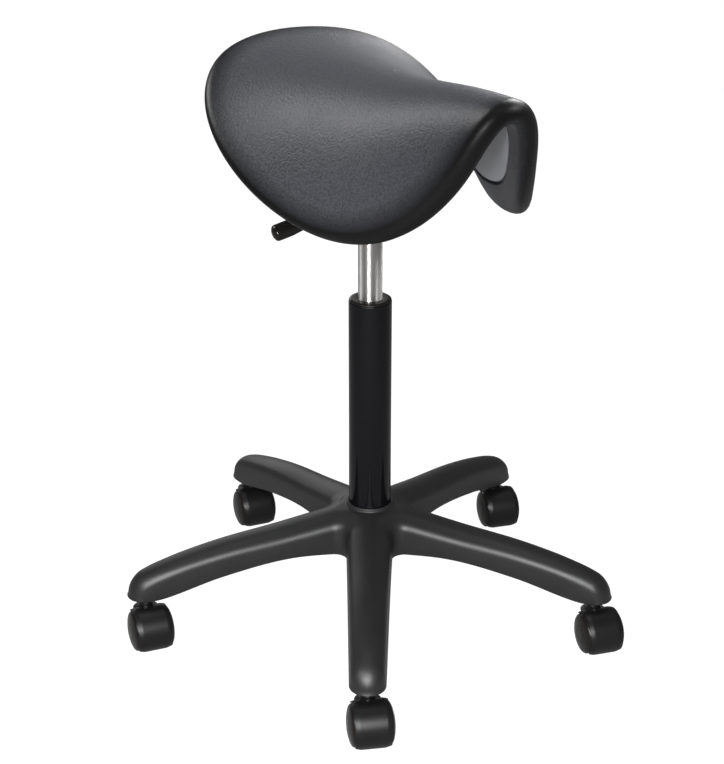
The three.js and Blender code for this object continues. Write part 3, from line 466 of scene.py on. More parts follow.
# %% [markdown]
# ### Glass-filled nylon
# The star base and the caster hoods are injection-moulded nylon with short glass fibres. The mould
# was spark-eroded, which leaves a fine, even, slightly glossy grain. The eye sees a dark grey-black
# with a broad sheen along every rounded edge. The hoods hold less glass and more soot, so they are
# blacker and a little smoother.

# %% Glass-filled nylon
CLOUD_SIZE = 30 * MM
SPARK_GRAIN = 0.9 * MM
SPARK_DEPTH = 0.05 * MM


def nylon(name, dark, light, smooth, rough, shine):
    """Moulded nylon with a slow cloud between two tones and two roughnesses."""

    def pattern(tree, place):
        cloud = noise(tree, place, CLOUD_SIZE, 3)
        return {
            "Base Color": mixed(tree, cloud, dark, light),
            "Roughness": ranged(tree, cloud, smooth, rough),
            "Normal": raised(tree, noise(tree, place, SPARK_GRAIN, 2), SPARK_DEPTH, 0.5),
            "Specular IOR Level": shine,
        }

    return finish(name, dark, smooth, pattern)


NYLON = nylon("glass_filled_nylon", "#171718", "#1d1d1e", 0.39, 0.47, 0.4)
HOOD_NYLON = nylon("soot_black_nylon", "#0b0b0c", "#111112", 0.34, 0.42, 0.26)

# %% [markdown]
# ### Moulded gloss plastic
# The wheels, the lever's grip and the collar of the column come from polished moulds. They are as
# black as the hoods but shinier, with a very slight ripple where the plastic shrank.

# %% Polished-mould plastic
RIPPLE_SIZE = 9 * MM
RIPPLE_DEPTH = 0.03 * MM


def gloss_plastic(tree, place):
    ripple = noise(tree, place, RIPPLE_SIZE, 2)
    return {
        "Base Color": mixed(tree, ripple, "#110f0e", "#181615"),
        "Roughness": ranged(tree, ripple, 0.2, 0.3),
        "Normal": raised(tree, ripple, RIPPLE_DEPTH, 0.4),
        "Specular IOR Level": 0.2,
    }


GLOSS = finish("polished_mould_black_plastic", "#141312", 0.26, gloss_plastic)

# %% [markdown]
# ### Baked enamel
# The stand tube is steel tube with a gloss black enamel. Enamel is nearly a mirror, so the tube
# shows narrow white streaks and, near its foot, the dark arms. Paint always keeps a faint orange
# peel, about two millimetres across, and that keeps the streaks from looking ruled.

# %% Gloss enamel
PEEL_SIZE = 2.2 * MM
PEEL_DEPTH = 0.004 * MM
DUST_SIZE = 12 * MM


def gloss_enamel(tree, place):
    return {
        "Roughness": ranged(tree, noise(tree, place, DUST_SIZE, 5), 0.08, 0.14),
        "Normal": raised(tree, noise(tree, place, PEEL_SIZE, 1), PEEL_DEPTH, 0.5),
        "Specular IOR Level": 0.2,
    }


ENAMEL = finish("baked_gloss_enamel", "#08080a", 0.1, gloss_enamel)

# %% [markdown]
# ### Ground and chromed steel
# The gas cylinder is a precision tube, ground round and then hard-chromed. Grinding leaves very
# fine rings about it. They spread each highlight a little up and down but keep its sides crisp, so
# the cylinder shows sharp vertical stripes.

# %% Chromed steel
RING_PITCH = 0.7 * MM
RING_DEPTH = 0.01 * MM
RING_STRETCH = 30


def chromed_steel(tree, place):
    """The coordinates are squeezed along the tube, which flattens the noise into rings."""
    settings = {"Scale": (1, 1, RING_STRETCH), "Vector": place}
    squeezed = add_node(tree, "ShaderNodeMapping", settings).outputs[0]
    rings = noise(tree, squeezed, RING_STRETCH * RING_PITCH, 3)
    return {
        "Roughness": ranged(tree, rings, 0.4, 0.5),
        "Normal": raised(tree, rings, RING_DEPTH, 0.15),
        "Anisotropic": 0.95,
        "Anisotropic Rotation": 0.25,
    }


CHROME = finish("ground_chromed_steel", "#d6d4d2", 0.45, chromed_steel, metallic=1.0)

# %% [markdown]
# ### Zinc plate, powder coat, panel, plywood and rubber
# These finishes lie underneath or inside. Zinc plate on screws and stems is a soft, cloudy grey
# metal. The pressed pan under the seat has a black powder coat, duller than enamel, with coarse
# orange peel. The panel inside the flaps is grain-moulded polypropylene. The block between the seat
# and the pan is birch plywood, with thin veneers that show as stripes on its edge.

# %% Zinc plate and powder coat
SPANGLE_SIZE = 4 * MM
POWDER_PEEL = 1.6 * MM
COARSE_DEPTH = 0.05 * MM


def zinc_plate(tree, place):
    spangle = noise(tree, place, SPANGLE_SIZE, 4)
    return {
        "Base Color": mixed(tree, spangle, "#9a9da1", "#bbbcbe"),
        "Roughness": ranged(tree, spangle, 0.3, 0.46),
    }


def powder_coat(tree, place):
    peel = noise(tree, place, POWDER_PEEL, 2)
    return {
        "Roughness": ranged(tree, peel, 0.38, 0.5),
        "Normal": raised(tree, peel, COARSE_DEPTH, 0.6),
    }


ZINC = finish("zinc_plated_steel", "#a9acb0", 0.38, zinc_plate, metallic=1.0)
POWDER = finish("black_powder_coat", "#1b1c1e", 0.42, powder_coat)

# %% Grained polypropylene and rubber
PANEL_CLOUD = 60 * MM
PANEL_GRAIN = 1.1 * MM
BLOOM_SIZE = 6 * MM


def grained_panel(tree, place):
    return {
        "Base Color": mixed(tree, noise(tree, place, PANEL_CLOUD, 3), "#88898e", "#96979c"),
        "Normal": raised(tree, noise(tree, place, PANEL_GRAIN, 2), COARSE_DEPTH, 0.5),
    }


def moulded_rubber(tree, place):
    return {"Roughness": ranged(tree, noise(tree, place, BLOOM_SIZE, 4), 0.66, 0.84)}


PANEL = finish("grained_polypropylene", "#8e8f94", 0.44, grained_panel)
RUBBER = finish("moulded_rubber", "#1a1a1a", 0.75, moulded_rubber)

# %% Birch plywood
VENEER = 1.4 * MM
BANDS_PER_UNIT = 3.14
FIBRE_LENGTH = 20 * MM
FIBRE_STRETCH = 14


def birch_plywood(tree, place):
    """Bands for the veneers, times noise that is stretched along the grain."""
    settings = {"wave_type": "BANDS", "bands_direction": "Z", "Distortion": 0.6}
    settings |= {"Scale": 1 / (2 * VENEER * BANDS_PER_UNIT), "Vector": place}
    plies = add_node(tree, "ShaderNodeTexWave", settings).outputs["Fac"]
    settings = {"Scale": (1, FIBRE_STRETCH, FIBRE_STRETCH), "Vector": place}
    stretched = add_node(tree, "ShaderNodeMapping", settings).outputs[0]
    settings = {"operation": "MULTIPLY", 0: plies, 1: noise(tree, stretched, FIBRE_LENGTH, 5)}
    both = add_node(tree, "ShaderNodeMath", settings).outputs[0]
    return {"Base Color": mixed(tree, both, "#94693b", "#d9bb8b")}


PLYWOOD = finish("birch_plywood", "#b8925f", 0.62, birch_plywood)

# %% [markdown]
# ## The saddle
# The seat is one thick sheet of moulded foam, bent over like a real saddle. A ridge runs from the
# low back to the raised pommel. On each side the sheet bends down, first along a wide round crown
# and then into a straight flap. Sculpting that by hand would never match the CAD solid, so the sheet
# is written as a formula: s runs along the ridge, t across it, and h up from the surface. The same
# formula bends the top, the rolled rim, the underside and the panel, so they stay parallel.

# %% Values along a line of stations
def through_stations(stations, values):
    """A smooth curve through values at stations, level beyond its ends."""
    stations, values = np.array(stations, float), np.array(values, float)
    slopes = np.empty_like(values)
    slopes[1:-1] = (values[2:] - values[:-2]) / (stations[2:] - stations[:-2])
    slopes[0] = (values[1] - values[0]) / (stations[1] - stations[0])
    slopes[-1] = (values[-1] - values[-2]) / (stations[-1] - stations[-2])

    def curve(place):
        x = np.clip(place, stations[0], stations[-1])
        i = np.clip(np.searchsorted(stations, x, side="right") - 1, 0, len(stations) - 2)
        span = stations[i + 1] - stations[i]
        t = (x - stations[i]) / span
        before = (2 * t**3 - 3 * t**2 + 1) * values[i] + (t**3 - 2 * t**2 + t) * span * slopes[i]
        after = (-2 * t**3 + 3 * t**2) * values[i + 1] + (t**3 - t**2) * span * slopes[i + 1]
        return before + after

    return curve


def softened(curve, reach, samples=9):
    """The curve averaged over a distance, which takes out creases at its stations."""
    return lambda place: sum(curve(place + k) for k in np.linspace(-reach, reach, samples)) / samples


print("halfway between 0 and 1:", float(through_stations([0, 1], [0, 1])(0.5)))

# %% The sheet of the saddle, in millimetres
SEAT_HEADING = math.radians(57.4)
SEAT_HEIGHT = 673
SEAT_SETBACK = -40
FRONT_REACH, REAR_REACH, SIDE_REACH = 226, 237, 213
WIDEST_STATION = 6
FRONT_ROUNDNESS, REAR_ROUNDNESS = 1.84, 1.96
FLAP_SWEEP = 0.14
RIDGE_SAMPLES, FOLD_SAMPLES = 40, 24
RIDGE_STATIONS = [-REAR_REACH, -REAR_REACH / 2, 0, FRONT_REACH / 3, FRONT_REACH * 2 / 3, FRONT_REACH]
FOLD_STATIONS = [-REAR_REACH, -REAR_REACH / 2, 0, FRONT_REACH / 2, FRONT_REACH]
ridge_slope = softened(through_stations(RIDGE_STATIONS, [-0.18, 0.02, 0.03, 0.13, 0.09, 0.02]), 22)
fold_angle = softened(through_stations(FOLD_STATIONS, [0.08, 0.93, 1.37, 1.49, 1.58]), 22)
crown_radius = softened(through_stations([-REAR_REACH, 0, FRONT_REACH], [205, 134, 46]), 45)


def midpoints(count):
    """The middles of equal steps from nothing to one."""
    return (np.arange(count) + 0.5) / count


def sheet_point(s, t, h):
    """Points of the sheet at arrays of stations s, distances t and heights h."""
    s, t, h = np.broadcast_arrays(np.asarray(s, float), t, h)
    slopes = ridge_slope(s[..., None] * midpoints(RIDGE_SAMPLES))
    x = np.cos(slopes).mean(-1) * s
    z = np.sin(slopes).mean(-1) * s
    reach = np.abs(t)
    fold, crown = fold_angle(s), crown_radius(s)
    down_line = reach[..., None] * midpoints(FOLD_SAMPLES)
    angles = fold[..., None] * np.tanh(down_line / crown[..., None])
    end_angle = fold * np.tanh(reach / crown)
    across = np.cos(angles).mean(-1) * reach + h * np.sin(end_angle)
    down = np.sin(angles).mean(-1) * reach - h * np.cos(end_angle)
    lean = np.sin(ridge_slope(s)) + FLAP_SWEEP * (reach / SIDE_REACH) ** 2
    side = np.where(t < 0, -across, across)
    return np.stack([x + down * lean, side, z - down * np.cos(ridge_slope(s))], -1)


def rim_reach(angles):
    """Distance from the middle of the sheet to its rim, a superellipse with two halves."""
    along, side = np.cos(angles), np.sin(angles)
    reach = np.where(along > 0, FRONT_REACH - WIDEST_STATION, REAR_REACH + WIDEST_STATION)
    power = np.where(along > 0, FRONT_ROUNDNESS, REAR_ROUNDNESS)
    return (np.abs(along / reach) ** power + np.abs(side / SIDE_REACH) ** power) ** (-1 / power)


print("pommel end of the ridge:", sheet_point(FRONT_REACH, 0, 0).round(1))

# %% Loops round the saddle
RIM_POINTS = 288
INWARD_SHARES = np.linspace(0.96, 0.04, 22)
rim_angles = full_turn(RIM_POINTS)
rim_reaches = rim_reach(rim_angles)


def saddle_loop(inset, height, share=1.0):
    """A closed loop that lies a distance inside the rim, at a height above the outer surface."""
    reach = (rim_reaches - inset) * share
    station = WIDEST_STATION + reach * np.cos(rim_angles)
    return sheet_point(station, reach * np.sin(rim_angles), height)


def saddle_place():
    """From the saddle's own frame to the stool's: back along the ridge, turned, and up."""
    turn = Matrix.Rotation(-SEAT_HEADING, 4, "Z")
    return turn @ Matrix.Translation((-SEAT_SETBACK, 0, SEAT_HEIGHT))


print("longest way to the rim:", rim_reaches.max().round(1), "mm")

# %% [markdown]
# ### The foam and its rolled rim
# The foam is 25 mm thick at its rim, and the rim is rolled right round to the underside. From there
# a flat band leads to a step, and inside the step lies the panel. The rim band is darkened as painted
# shade, darkest round the outside of the roll and fading again where it turns under, and its grain is
# smoothed. So a value worked out from the distance to the rim is stored on the points for the material.

# %% Foam
FOAM_EDGE = 25
PANEL_INSET = 34
PANEL_STEP = 6
STEP_DRAFT = 0.4
STEP_FLOOR = 9
STEP_FILLET = 1.6
ROLL_STEPS = 14
TOP_SHARES = np.linspace(0.02, 1, 46) ** 0.92
TYPICAL_REACH = 200
RIM_BAND = 20
RIM_SHADE = 0.8
NO_EDGE = 3.1


def foam_shape():
    """The foam's loops from the middle of its top round the rim to the middle of its underside."""
    radius = FOAM_EDGE / 2
    loops, bands = [], []

    def lay(inset, height, share=1.0, band=0.0):
        loops.append(saddle_loop(inset, height, share))
        bands.append(band)

    # Over the last RIM_BAND mm of the top the skin darkens towards the rim: painted shade.
    for share in TOP_SHARES:
        from_rim = (1 - share) * TYPICAL_REACH
        lay(radius, 0, share, max(0.0, 1 - from_rim / RIM_BAND) * RIM_SHADE)
    # Round the roll the painted shade is full, and it fades out where the roll turns under.
    for roll in np.linspace(0, math.pi, ROLL_STEPS)[1:]:
        shade = min(1.0, RIM_SHADE + roll, (math.pi - roll) * RIM_SHADE)
        lay(radius * (1 - math.sin(roll)), -radius * (1 - math.cos(roll)), 1, shade)
    edge, floor = PANEL_INSET + STEP_DRAFT, PANEL_INSET + STEP_FLOOR
    corners = [(radius, 0, 0), (PANEL_INSET, 0, STEP_FILLET), (edge, PANEL_STEP, STEP_FILLET)]
    for inset, rise in rounded(corners + [(floor, PANEL_STEP, 0)])[1:]:
        lay(inset, rise - FOAM_EDGE)
    for share in INWARD_SHARES:
        lay(floor, PANEL_STEP - FOAM_EDGE, share)
    return loft(loops), bands


shape, bands = foam_shape()
placed = moved(shape, saddle_place())
foam = add_piece("moulded_saddle", placed, "seat", FOAM, "saddle_cover", NO_EDGE)
# The stored values darken the rim as painted shade and smooth its grain.
layer = foam.data.attributes.new("rim_band", "FLOAT", "POINT")
layer.data.foreach_set("value", [*np.repeat(bands, RIM_POINTS), bands[0], bands[-1]])
print("saddle points:", len(foam.data.vertices), "faces:", len(foam.data.polygons))

# %% [markdown]
# ### The panel under the foam
# A stiff moulded panel lies in the recess, with a groove all round it that shows as a fine dark
# line. It closes the underside and carries the mechanism. Its edge is rounded like any moulding.

# %% Panel
PANEL_TOP = PANEL_STEP - FOAM_EDGE - 0.6
PANEL_THICKNESS = 4
PANEL_GROOVE = 3
PANEL_EDGE = 1.2
PANEL_MARGIN = 12


def panel_shape():
    """The panel's loops across its top, round its edge and back across its underside."""
    edge, flat = PANEL_INSET + PANEL_GROOVE, PANEL_INSET + PANEL_MARGIN
    bottom = PANEL_TOP - PANEL_THICKNESS
    corners = [(flat, PANEL_TOP, 0), (edge, PANEL_TOP, PANEL_EDGE), (edge, bottom, PANEL_EDGE)]
    loops = [saddle_loop(flat, PANEL_TOP, share) for share in np.linspace(0.04, 1, 22)]
    loops += [saddle_loop(inset, height) for inset, height in rounded(corners + [(flat, bottom, 0)])[1:]]
    loops += [saddle_loop(flat, bottom, share) for share in INWARD_SHARES]
    return loft(loops)


placed = moved(panel_shape(), saddle_place())
panel = add_piece("saddle_panel", placed, "seat", PANEL, "saddle_shell")
print("panel faces:", len(panel.data.polygons))

# %% [markdown]
# ## The star base
# The base is one nylon moulding: five hollow arms that open downwards, a hub round the tube, and a
# socket at each tip for a caster. Its look depends on the arms' soft shoulders and on the small
# fillets where two arms meet. A boolean union would leave hard seams there. Instead the mesh follows
# the outline of the moulding: each loop is the outline drawn in by a little more while it climbs
# from the lower edge, up the drafted wall and round the shoulder. The tops are then filled across.

# %% Arm profiles, in millimetres
ARM_COUNT = 5
CASTER_CIRCLE = 278
TIP_OVERHANG = 21
ROOT_HALF_WIDTH = 28
TIP_HALF_WIDTH = 20.5
TIP_UNDERSIDE = 56.4
ARM_RISE = 81
ARM_DRAFT = 1.6
SHOULDER_RADII = (12, 18)
SHOULDER_BLEND = 45
SHOULDER_TURN = math.radians(62)
WALL = 3.4
ARM_STATIONS = np.array([0.108, 0.396, 0.683, 0.942, 1.075]) * CASTER_CIRCLE
CREST_LEVELS = TIP_UNDERSIDE + ARM_RISE * np.array([1, 0.835, 0.696, 0.484, 0.295])
FOOT_LEVELS = TIP_UNDERSIDE + ARM_RISE * np.array([0.375, 0.43, 0.278, 0.044, 0.03])
arm_crest = softened(through_stations(ARM_STATIONS, CREST_LEVELS), 5)
arm_foot = softened(through_stations(ARM_STATIONS, FOOT_LEVELS), 5)
print("arm's top at root and tip:", float(arm_crest(30)), float(arm_crest(278)))

# %% Outline of half an arm, with the fillet to its neighbour
CORNER_FILLET = 13
HALF_SECTOR = math.pi / ARM_COUNT
EDGE_TAPER = (ROOT_HALF_WIDTH - TIP_HALF_WIDTH) / (CASTER_CIRCLE - ARM_STATIONS[0])
FILLET_STEPS, EDGE_STEPS, TIP_STEPS = 8, 46, 12


def half_outline():
    """Points, outward normals and half widths, from the line between two arms to one arm's end."""
    normal = np.array([EDGE_TAPER, 1]) / math.hypot(EDGE_TAPER, 1)
    bisector = circle(HALF_SECTOR)
    at_axis = ROOT_HALF_WIDTH + EDGE_TAPER * ARM_STATIONS[0]
    corner = at_axis / (bisector[1] + EDGE_TAPER * bisector[0])
    centre = bisector * (corner + CORNER_FILLET / (bisector @ normal))
    start, end = HALF_SECTOR + math.pi, math.atan2(-normal[1], -normal[0]) + 2 * math.pi
    toward = circle(np.linspace(start, end, FILLET_STEPS + 1))
    fillet = centre + CORNER_FILLET * toward
    shares = np.linspace(0, 1, EDGE_STEPS + 1)[1:, None]
    edge = fillet[-1] + ((CASTER_CIRCLE, TIP_HALF_WIDTH) - fillet[-1]) * shares
    tip = circle(np.linspace(math.pi / 2, 0, TIP_STEPS + 1)[1:])
    across = tip / (TIP_OVERHANG, TIP_HALF_WIDTH)
    across /= np.linalg.norm(across, axis=1)[:, None]
    tip = (CASTER_CIRCLE, 0) + tip * (TIP_OVERHANG, TIP_HALF_WIDTH)
    points = np.vstack([fillet, edge, tip])
    normals = np.vstack([-toward, np.tile(normal, (EDGE_STEPS, 1)), across])
    halves = np.clip(points[:, 1], TIP_HALF_WIDTH, None)
    halves[: FILLET_STEPS + 1] = ROOT_HALF_WIDTH
    return points, normals, halves


outline, outline_normals, outline_halves = half_outline()
print("outline points:", len(outline), "nearest to the column:", np.linalg.norm(outline[0]).round(1), "mm")

# %% [markdown]
# The arm's section is two arcs: a tight shoulder, which shows as a bright line along the arm, and a
# wide, low crown from one shoulder to the other. At the tip the shoulder grows into a round nose.

# %% Rows up the wall, round the shoulder and over the crown
LOWER_EDGE = 0.9
CROWN_SHARE = 0.94
shoulder_places = (CASTER_CIRCLE - SHOULDER_BLEND, CASTER_CIRCLE + TIP_OVERHANG)
shoulders = np.interp(outline[:, 0], shoulder_places, SHOULDER_RADII)
crowns = (outline_halves - ARM_DRAFT) * CROWN_SHARE - shoulders * (1 - math.cos(SHOULDER_TURN))
crowns /= math.cos(SHOULDER_TURN)
section_turns = [*np.linspace(0, SHOULDER_TURN, 10), *np.linspace(SHOULDER_TURN, math.pi / 2, 8)[1:]]


def skin_rows(inward, lower):
    """Rows of points over half an arm, for the outer skin or, drawn inward, for the inner one."""
    foot = arm_foot(np.linalg.norm(outline, axis=1))
    rows = []
    for d, z in [(inward, 0.0)] if lower is None else lower:
        rows.append(np.column_stack([outline - outline_normals * d, foot + z]))
    for angle in section_turns:
        first = min(angle, SHOULDER_TURN)
        inset = shoulders * (1 - math.cos(first)) + crowns * (math.cos(first) - math.cos(max(angle, first)))
        below = shoulders * (math.sin(SHOULDER_TURN) - math.sin(first))
        below = below + crowns * (1 - math.sin(max(angle, SHOULDER_TURN)))
        place = outline - outline_normals * (ARM_DRAFT + inset + inward * math.cos(angle))[:, None]
        level = arm_crest(np.linalg.norm(place, axis=1)) - below - inward * math.sin(angle)
        rows.append(np.column_stack([place, level]))
    return rows


def mirrored(row):
    """The same row of points on the other half of the arm."""
    return row[::-1] * np.array([1, -1, 1])


outer_rows = skin_rows(0, [(WALL, 0), (LOWER_EDGE, 0), (LOWER_EDGE * 0.3, LOWER_EDGE * 0.3), (0, LOWER_EDGE)])
inner_rows = skin_rows(WALL, None)
print("rows outside and inside:", len(outer_rows), len(inner_rows))

# %% Skins of one arm
ACROSS_STEPS = 6
HUB_ROWS = 5


def strip(rows):
    """Quads over both halves of an arm, one row of points above the other."""
    whole = [np.vstack([row, mirrored(row)[1:]]) for row in rows]
    return [tuple(p) for row in whole for p in row], grid_faces(len(whole), len(whole[0]))


def top_patch(edge_row, drop, hub_radius):
    """Quads across the top, from one edge of the arm to the other, and inwards to the hub."""

    def level(xy):
        return np.column_stack([xy, arm_crest(np.linalg.norm(xy, axis=1)) - drop])

    shares = np.linspace(1, -1, ACROSS_STEPS + 1)
    near, far = edge_row[:FILLET_STEPS], edge_row[FILLET_STEPS:]
    rungs = [level(np.column_stack([np.full(len(shares), x), y * shares])) for x, y, _ in far]
    points = [tuple(p) for rung in rungs for p in rung]
    faces = grid_faces(len(rungs), len(shares))
    border = np.vstack([near, rungs[0], mirrored(near)])[:, :2]
    turns = np.linspace(HALF_SECTOR, -HALF_SECTOR, len(border))
    hub = hub_radius * circle(turns)
    faces += grid_faces(HUB_ROWS, len(border), start=len(points))
    for share in np.linspace(0, 1, HUB_ROWS):
        points += [tuple(p) for p in level(border + (hub - border) * share)]
    return points, faces


LIP_OUTER = 27.9
BARREL_RADIUS = 36
arm_skin = joined(
    strip(outer_rows),
    top_patch(outer_rows[-1], 0, LIP_OUTER),
    strip(inner_rows),
    top_patch(inner_rows[-1], WALL, BARREL_RADIUS),
)
print("faces of one arm's skins:", len(arm_skin[1]))

# %% Ribs and socket under one arm
RIB_HALF = 1.3
RIB_RECESS = 4
RIB_SHOULDER = 22
CROSS_RIBS = (0.34, 0.53, 0.72)
SOCKET_RADIUS = 10.4
STEM_BORE = 5.8
STEM_TOP = 78.4


def rib_levels(r):
    """The lower and upper edge of a rib at a distance from the column."""
    return float(arm_foot(r)) + RIB_RECESS, float(arm_crest(r)) - WALL / 2


def spine_rib():
    """The long rib down the middle of the arm, from the hub to the socket."""
    loops = []
    for r in np.linspace(BARREL_RADIUS - 1, CASTER_CIRCLE - SOCKET_RADIUS + 1, 16):
        low, high = rib_levels(r)
        loops.append([(r, -RIB_HALF, low), (r, RIB_HALF, low), (r, RIB_HALF, high), (r, -RIB_HALF, high)])
    return loft(loops)


def cross_rib(share):
    """A rib from wall to wall, with its upper corners cut to fit under the shoulders."""
    r = share * CASTER_CIRCLE
    half = ROOT_HALF_WIDTH - EDGE_TAPER * (r - ARM_STATIONS[0]) - WALL / 2
    low, high = rib_levels(r)
    side = [(half, low), (half - 0.9, high - RIB_SHOULDER)]
    side += [(half - 8, high - 8), (half - RIB_SHOULDER, high - 1)]
    section = side + [(-y, z) for y, z in side[::-1]]
    return loft([[(x, y, z) for y, z in section] for x in (r - RIB_HALF, r + RIB_HALF)])


def socket_boss():
    """The boss that holds the stem: a tapered foot, a bore, and a rounded lower edge."""
    top = float(arm_crest(CASTER_CIRCLE + SOCKET_RADIUS)) - SHOULDER_RADII[0] / 2 - WALL
    profile = [
        (STEM_BORE, STEM_TOP, 0), (STEM_BORE, TIP_UNDERSIDE, 0.5), (SOCKET_RADIUS, TIP_UNDERSIDE, 1.2),
        (SOCKET_RADIUS + 0.5, top, 0),
    ]
    return moved(turned(profile, 48), Matrix.Translation((CASTER_CIRCLE, 0, 0)))


arm_shape = joined(arm_skin, spine_rib(), *[cross_rib(share) for share in CROSS_RIBS], socket_boss())
print("faces of one arm:", len(arm_shape[1]))

# %% Hub and the whole base
HUB_TOP = 142
HUB_BOTTOM = 78
TUBE_RADIUS = 25


def hub_shape():
    """The lip that grips the tube, and the barrel that hangs below the arms."""
    bore = TUBE_RADIUS + 0.3
    lip = [
        (LIP_OUTER + 2.6, 137.3, 0), (LIP_OUTER + 0.1, 137.9, 1.2), (LIP_OUTER - 0.5, HUB_TOP, 0.9),
        (bore, HUB_TOP, 0.5), (bore, HUB_BOTTOM + 16, 0),
    ]
    barrel = [
        (28.5, HUB_BOTTOM + 16, 0), (28.5, HUB_BOTTOM, 0.6), (BARREL_RADIUS, HUB_BOTTOM, 1.6),
        (BARREL_RADIUS + 0.6, HUB_BOTTOM + 58, 0),
    ]
    return joined(turned(lip, 128), turned(barrel, 128))


def arm_angle(index):
    """The direction of an arm, counted from the one that points forward."""
    return -math.pi / 2 + index * 2 * HALF_SECTOR


def base_shape():
    turns = [Matrix.Rotation(arm_angle(index), 4, "Z") for index in range(ARM_COUNT)]
    return joined(*[moved(arm_shape, turn) for turn in turns], hub_shape())


base = add_piece("star_base_moulding", base_shape(), "base", NYLON, "five_star_base")
print("base faces:", len(base.data.polygons))

# %% [markdown]
# ## The column
# A gloss tube stands in the hub, a black plastic bush closes its top, and the bright gas cylinder
# slides in the bush. All three are turned shapes, so one profile each is enough. What sells them is
# the small edge radius at every rim.

# %% Tube, bush and gas cylinder
TUBE_TOP = 399
TUBE_WALL = 2
TUBE_FOOT = 84
CYLINDER_RADIUS = 14
CYLINDER_BOTTOM = 236
TAPER_BOTTOM = 526
BUSH_TOP = 401.9
CYLINDER_TOP = 588

tube_profile = [
    (TUBE_RADIUS - TUBE_WALL, 120, 0), (TUBE_RADIUS - TUBE_WALL, TUBE_TOP, 0.5),
    (TUBE_RADIUS, TUBE_TOP, 0.9), (TUBE_RADIUS, 137, 0), (TUBE_RADIUS - 1.3, TUBE_FOOT, 0.8),
    (4.6, TUBE_FOOT, 0),
]
add_piece("enamelled_stand_tube", turned(tube_profile, 128), "base", ENAMEL, "stand_tube")
bush_profile = [
    (14.3, 337, 0), (14.3, BUSH_TOP, 0.8), (21.9, BUSH_TOP, 1.2), (24.5, 400.4, 0.9),
    (24.5, 399.3, 0.2), (22.7, 399.3, 0.2), (22.7, 337, 0.5), (14.3, 337, 0),
]
add_piece("column_bush", turned(bush_profile), "base", GLOSS, "guide_bush")
cylinder_profile = [
    (5.6, CYLINDER_BOTTOM, 0), (CYLINDER_RADIUS, CYLINDER_BOTTOM, 2.2),
    (CYLINDER_RADIUS, TAPER_BOTTOM, 0), (CYLINDER_RADIUS - 0.9, CYLINDER_TOP, 1.2),
    (3.3, CYLINDER_TOP, 0), (3.3, CYLINDER_TOP - 8, 0),
]
add_piece("gas_spring_tube", turned(cylinder_profile), "seat", CHROME, "gas_cylinder")
print("cylinder shows for", round(TAPER_BOTTOM - BUSH_TOP, 1), "mm")

# %% [markdown]
# ## The mechanism
# Under the saddle a pressed steel pan is screwed to the plywood block. Its tapered socket grips the
# gas cylinder. The pan is turned like the tube, and then a slot for the lever is cut through its
# wall with a boolean, because a slot is the one form here that a turned profile can't have.

# %% Pan and socket
PAD_BOTTOM = 607.99
LEVER_LEVEL = 597.99
PAN_RADIUS = 44
PAN_WALL = 2.5
PAN_FLANGE = 12
PAN_FLOOR = 582.49
PAN_BORE = 14.4
LEVER_AZIMUTH = math.radians(200)
SLOT_WIDTH = 10.4
SLOT_LOW, SLOT_HIGH = 592.8, 605.1
SLOT_FILLET = 2
SLOT_REACH = 9


def pan_shape():
    """A dish with a flange, turned all the way round its section."""
    top, brim, inside = PAD_BOTTOM - 0.3, PAN_RADIUS + PAN_FLANGE, PAN_RADIUS - PAN_WALL
    return turned([
        (PAN_BORE, PAN_FLOOR, 0), (PAN_RADIUS, PAN_FLOOR, 6.5), (PAN_RADIUS, top - PAN_WALL, 1.6),
        (brim, top - PAN_WALL, 0.9), (brim, top, 0.9), (inside, top, 3),
        (inside, PAN_FLOOR + PAN_WALL, 4), (PAN_BORE, PAN_FLOOR + PAN_WALL, 0.4), (PAN_BORE, PAN_FLOOR, 0),
    ])


def cut_slot(pan):
    """Cuts the lever's slot through the pan's wall and keeps the result as the pan's mesh."""
    half = SLOT_WIDTH / 2
    corners = [(-half, SLOT_LOW), (half, SLOT_LOW), (half, SLOT_HIGH), (-half, SLOT_HIGH)]
    ring = rounded([(*corner, SLOT_FILLET) for corner in corners + corners[:2]])[1:-1]
    ends = (PAN_RADIUS - SLOT_REACH, PAN_RADIUS + SLOT_REACH)
    bar_shape = loft([[(x, y, z) for y, z in ring] for x in ends])
    cutter = add_mesh("slot_cutter", moved(bar_shape, Matrix.Rotation(LEVER_AZIMUTH, 4, "Z")), MM)
    carve = pan.modifiers.new("slot", "BOOLEAN")
    carve.operation, carve.object, carve.solver = "DIFFERENCE", cutter, "EXACT"
    bpy.context.view_layer.update()
    evaluated = pan.evaluated_get(bpy.context.evaluated_depsgraph_get())
    carved = bpy.data.meshes.new_from_object(evaluated)
    pan.modifiers.clear()
    pan.data = carved
    bpy.data.objects.remove(cutter)
    carved.shade_smooth()
    carved.set_sharp_from_angle(angle=SHARP_ANGLE)


pan = add_piece("pressed_pan", pan_shape(), "seat", POWDER, "mechanism_pan")
before_cut = len(pan.data.polygons)
cut_slot(pan)
socket_profile = [
    (14.3, TAPER_BOTTOM, 0), (16.9, TAPER_BOTTOM, 0.8), (18.3, 578.2, 0), (18.3, 582.2, 0.4),
    (13.6, 582.2, 0), (14.3, TAPER_BOTTOM, 0),
]
add_piece("welded_socket", turned(socket_profile, 72), "seat", POWDER, "taper_socket")
print("pan faces before and after the slot:", before_cut, "and", len(pan.data.polygons))

# %% [markdown]
# ## The lever
# The height lever is a round bar, bent twice, with a moulded grip pushed on. A bar is the section
# carried along a path whose corners are arcs. The path lies in one upright plane, so two directions
# are enough to place each ring of points.

# %% Bar along a bent path
ROD_RADIUS = 4
PIVOT = 26
ROD_START, KNEE, KNEE_FOOT, TIP = (-7, 0), (55, 0), (61, -92), (115, -107)
BEND_RADIUS = 16
GRIP_LENGTH = 42
ROD_IN_GRIP = 0.72


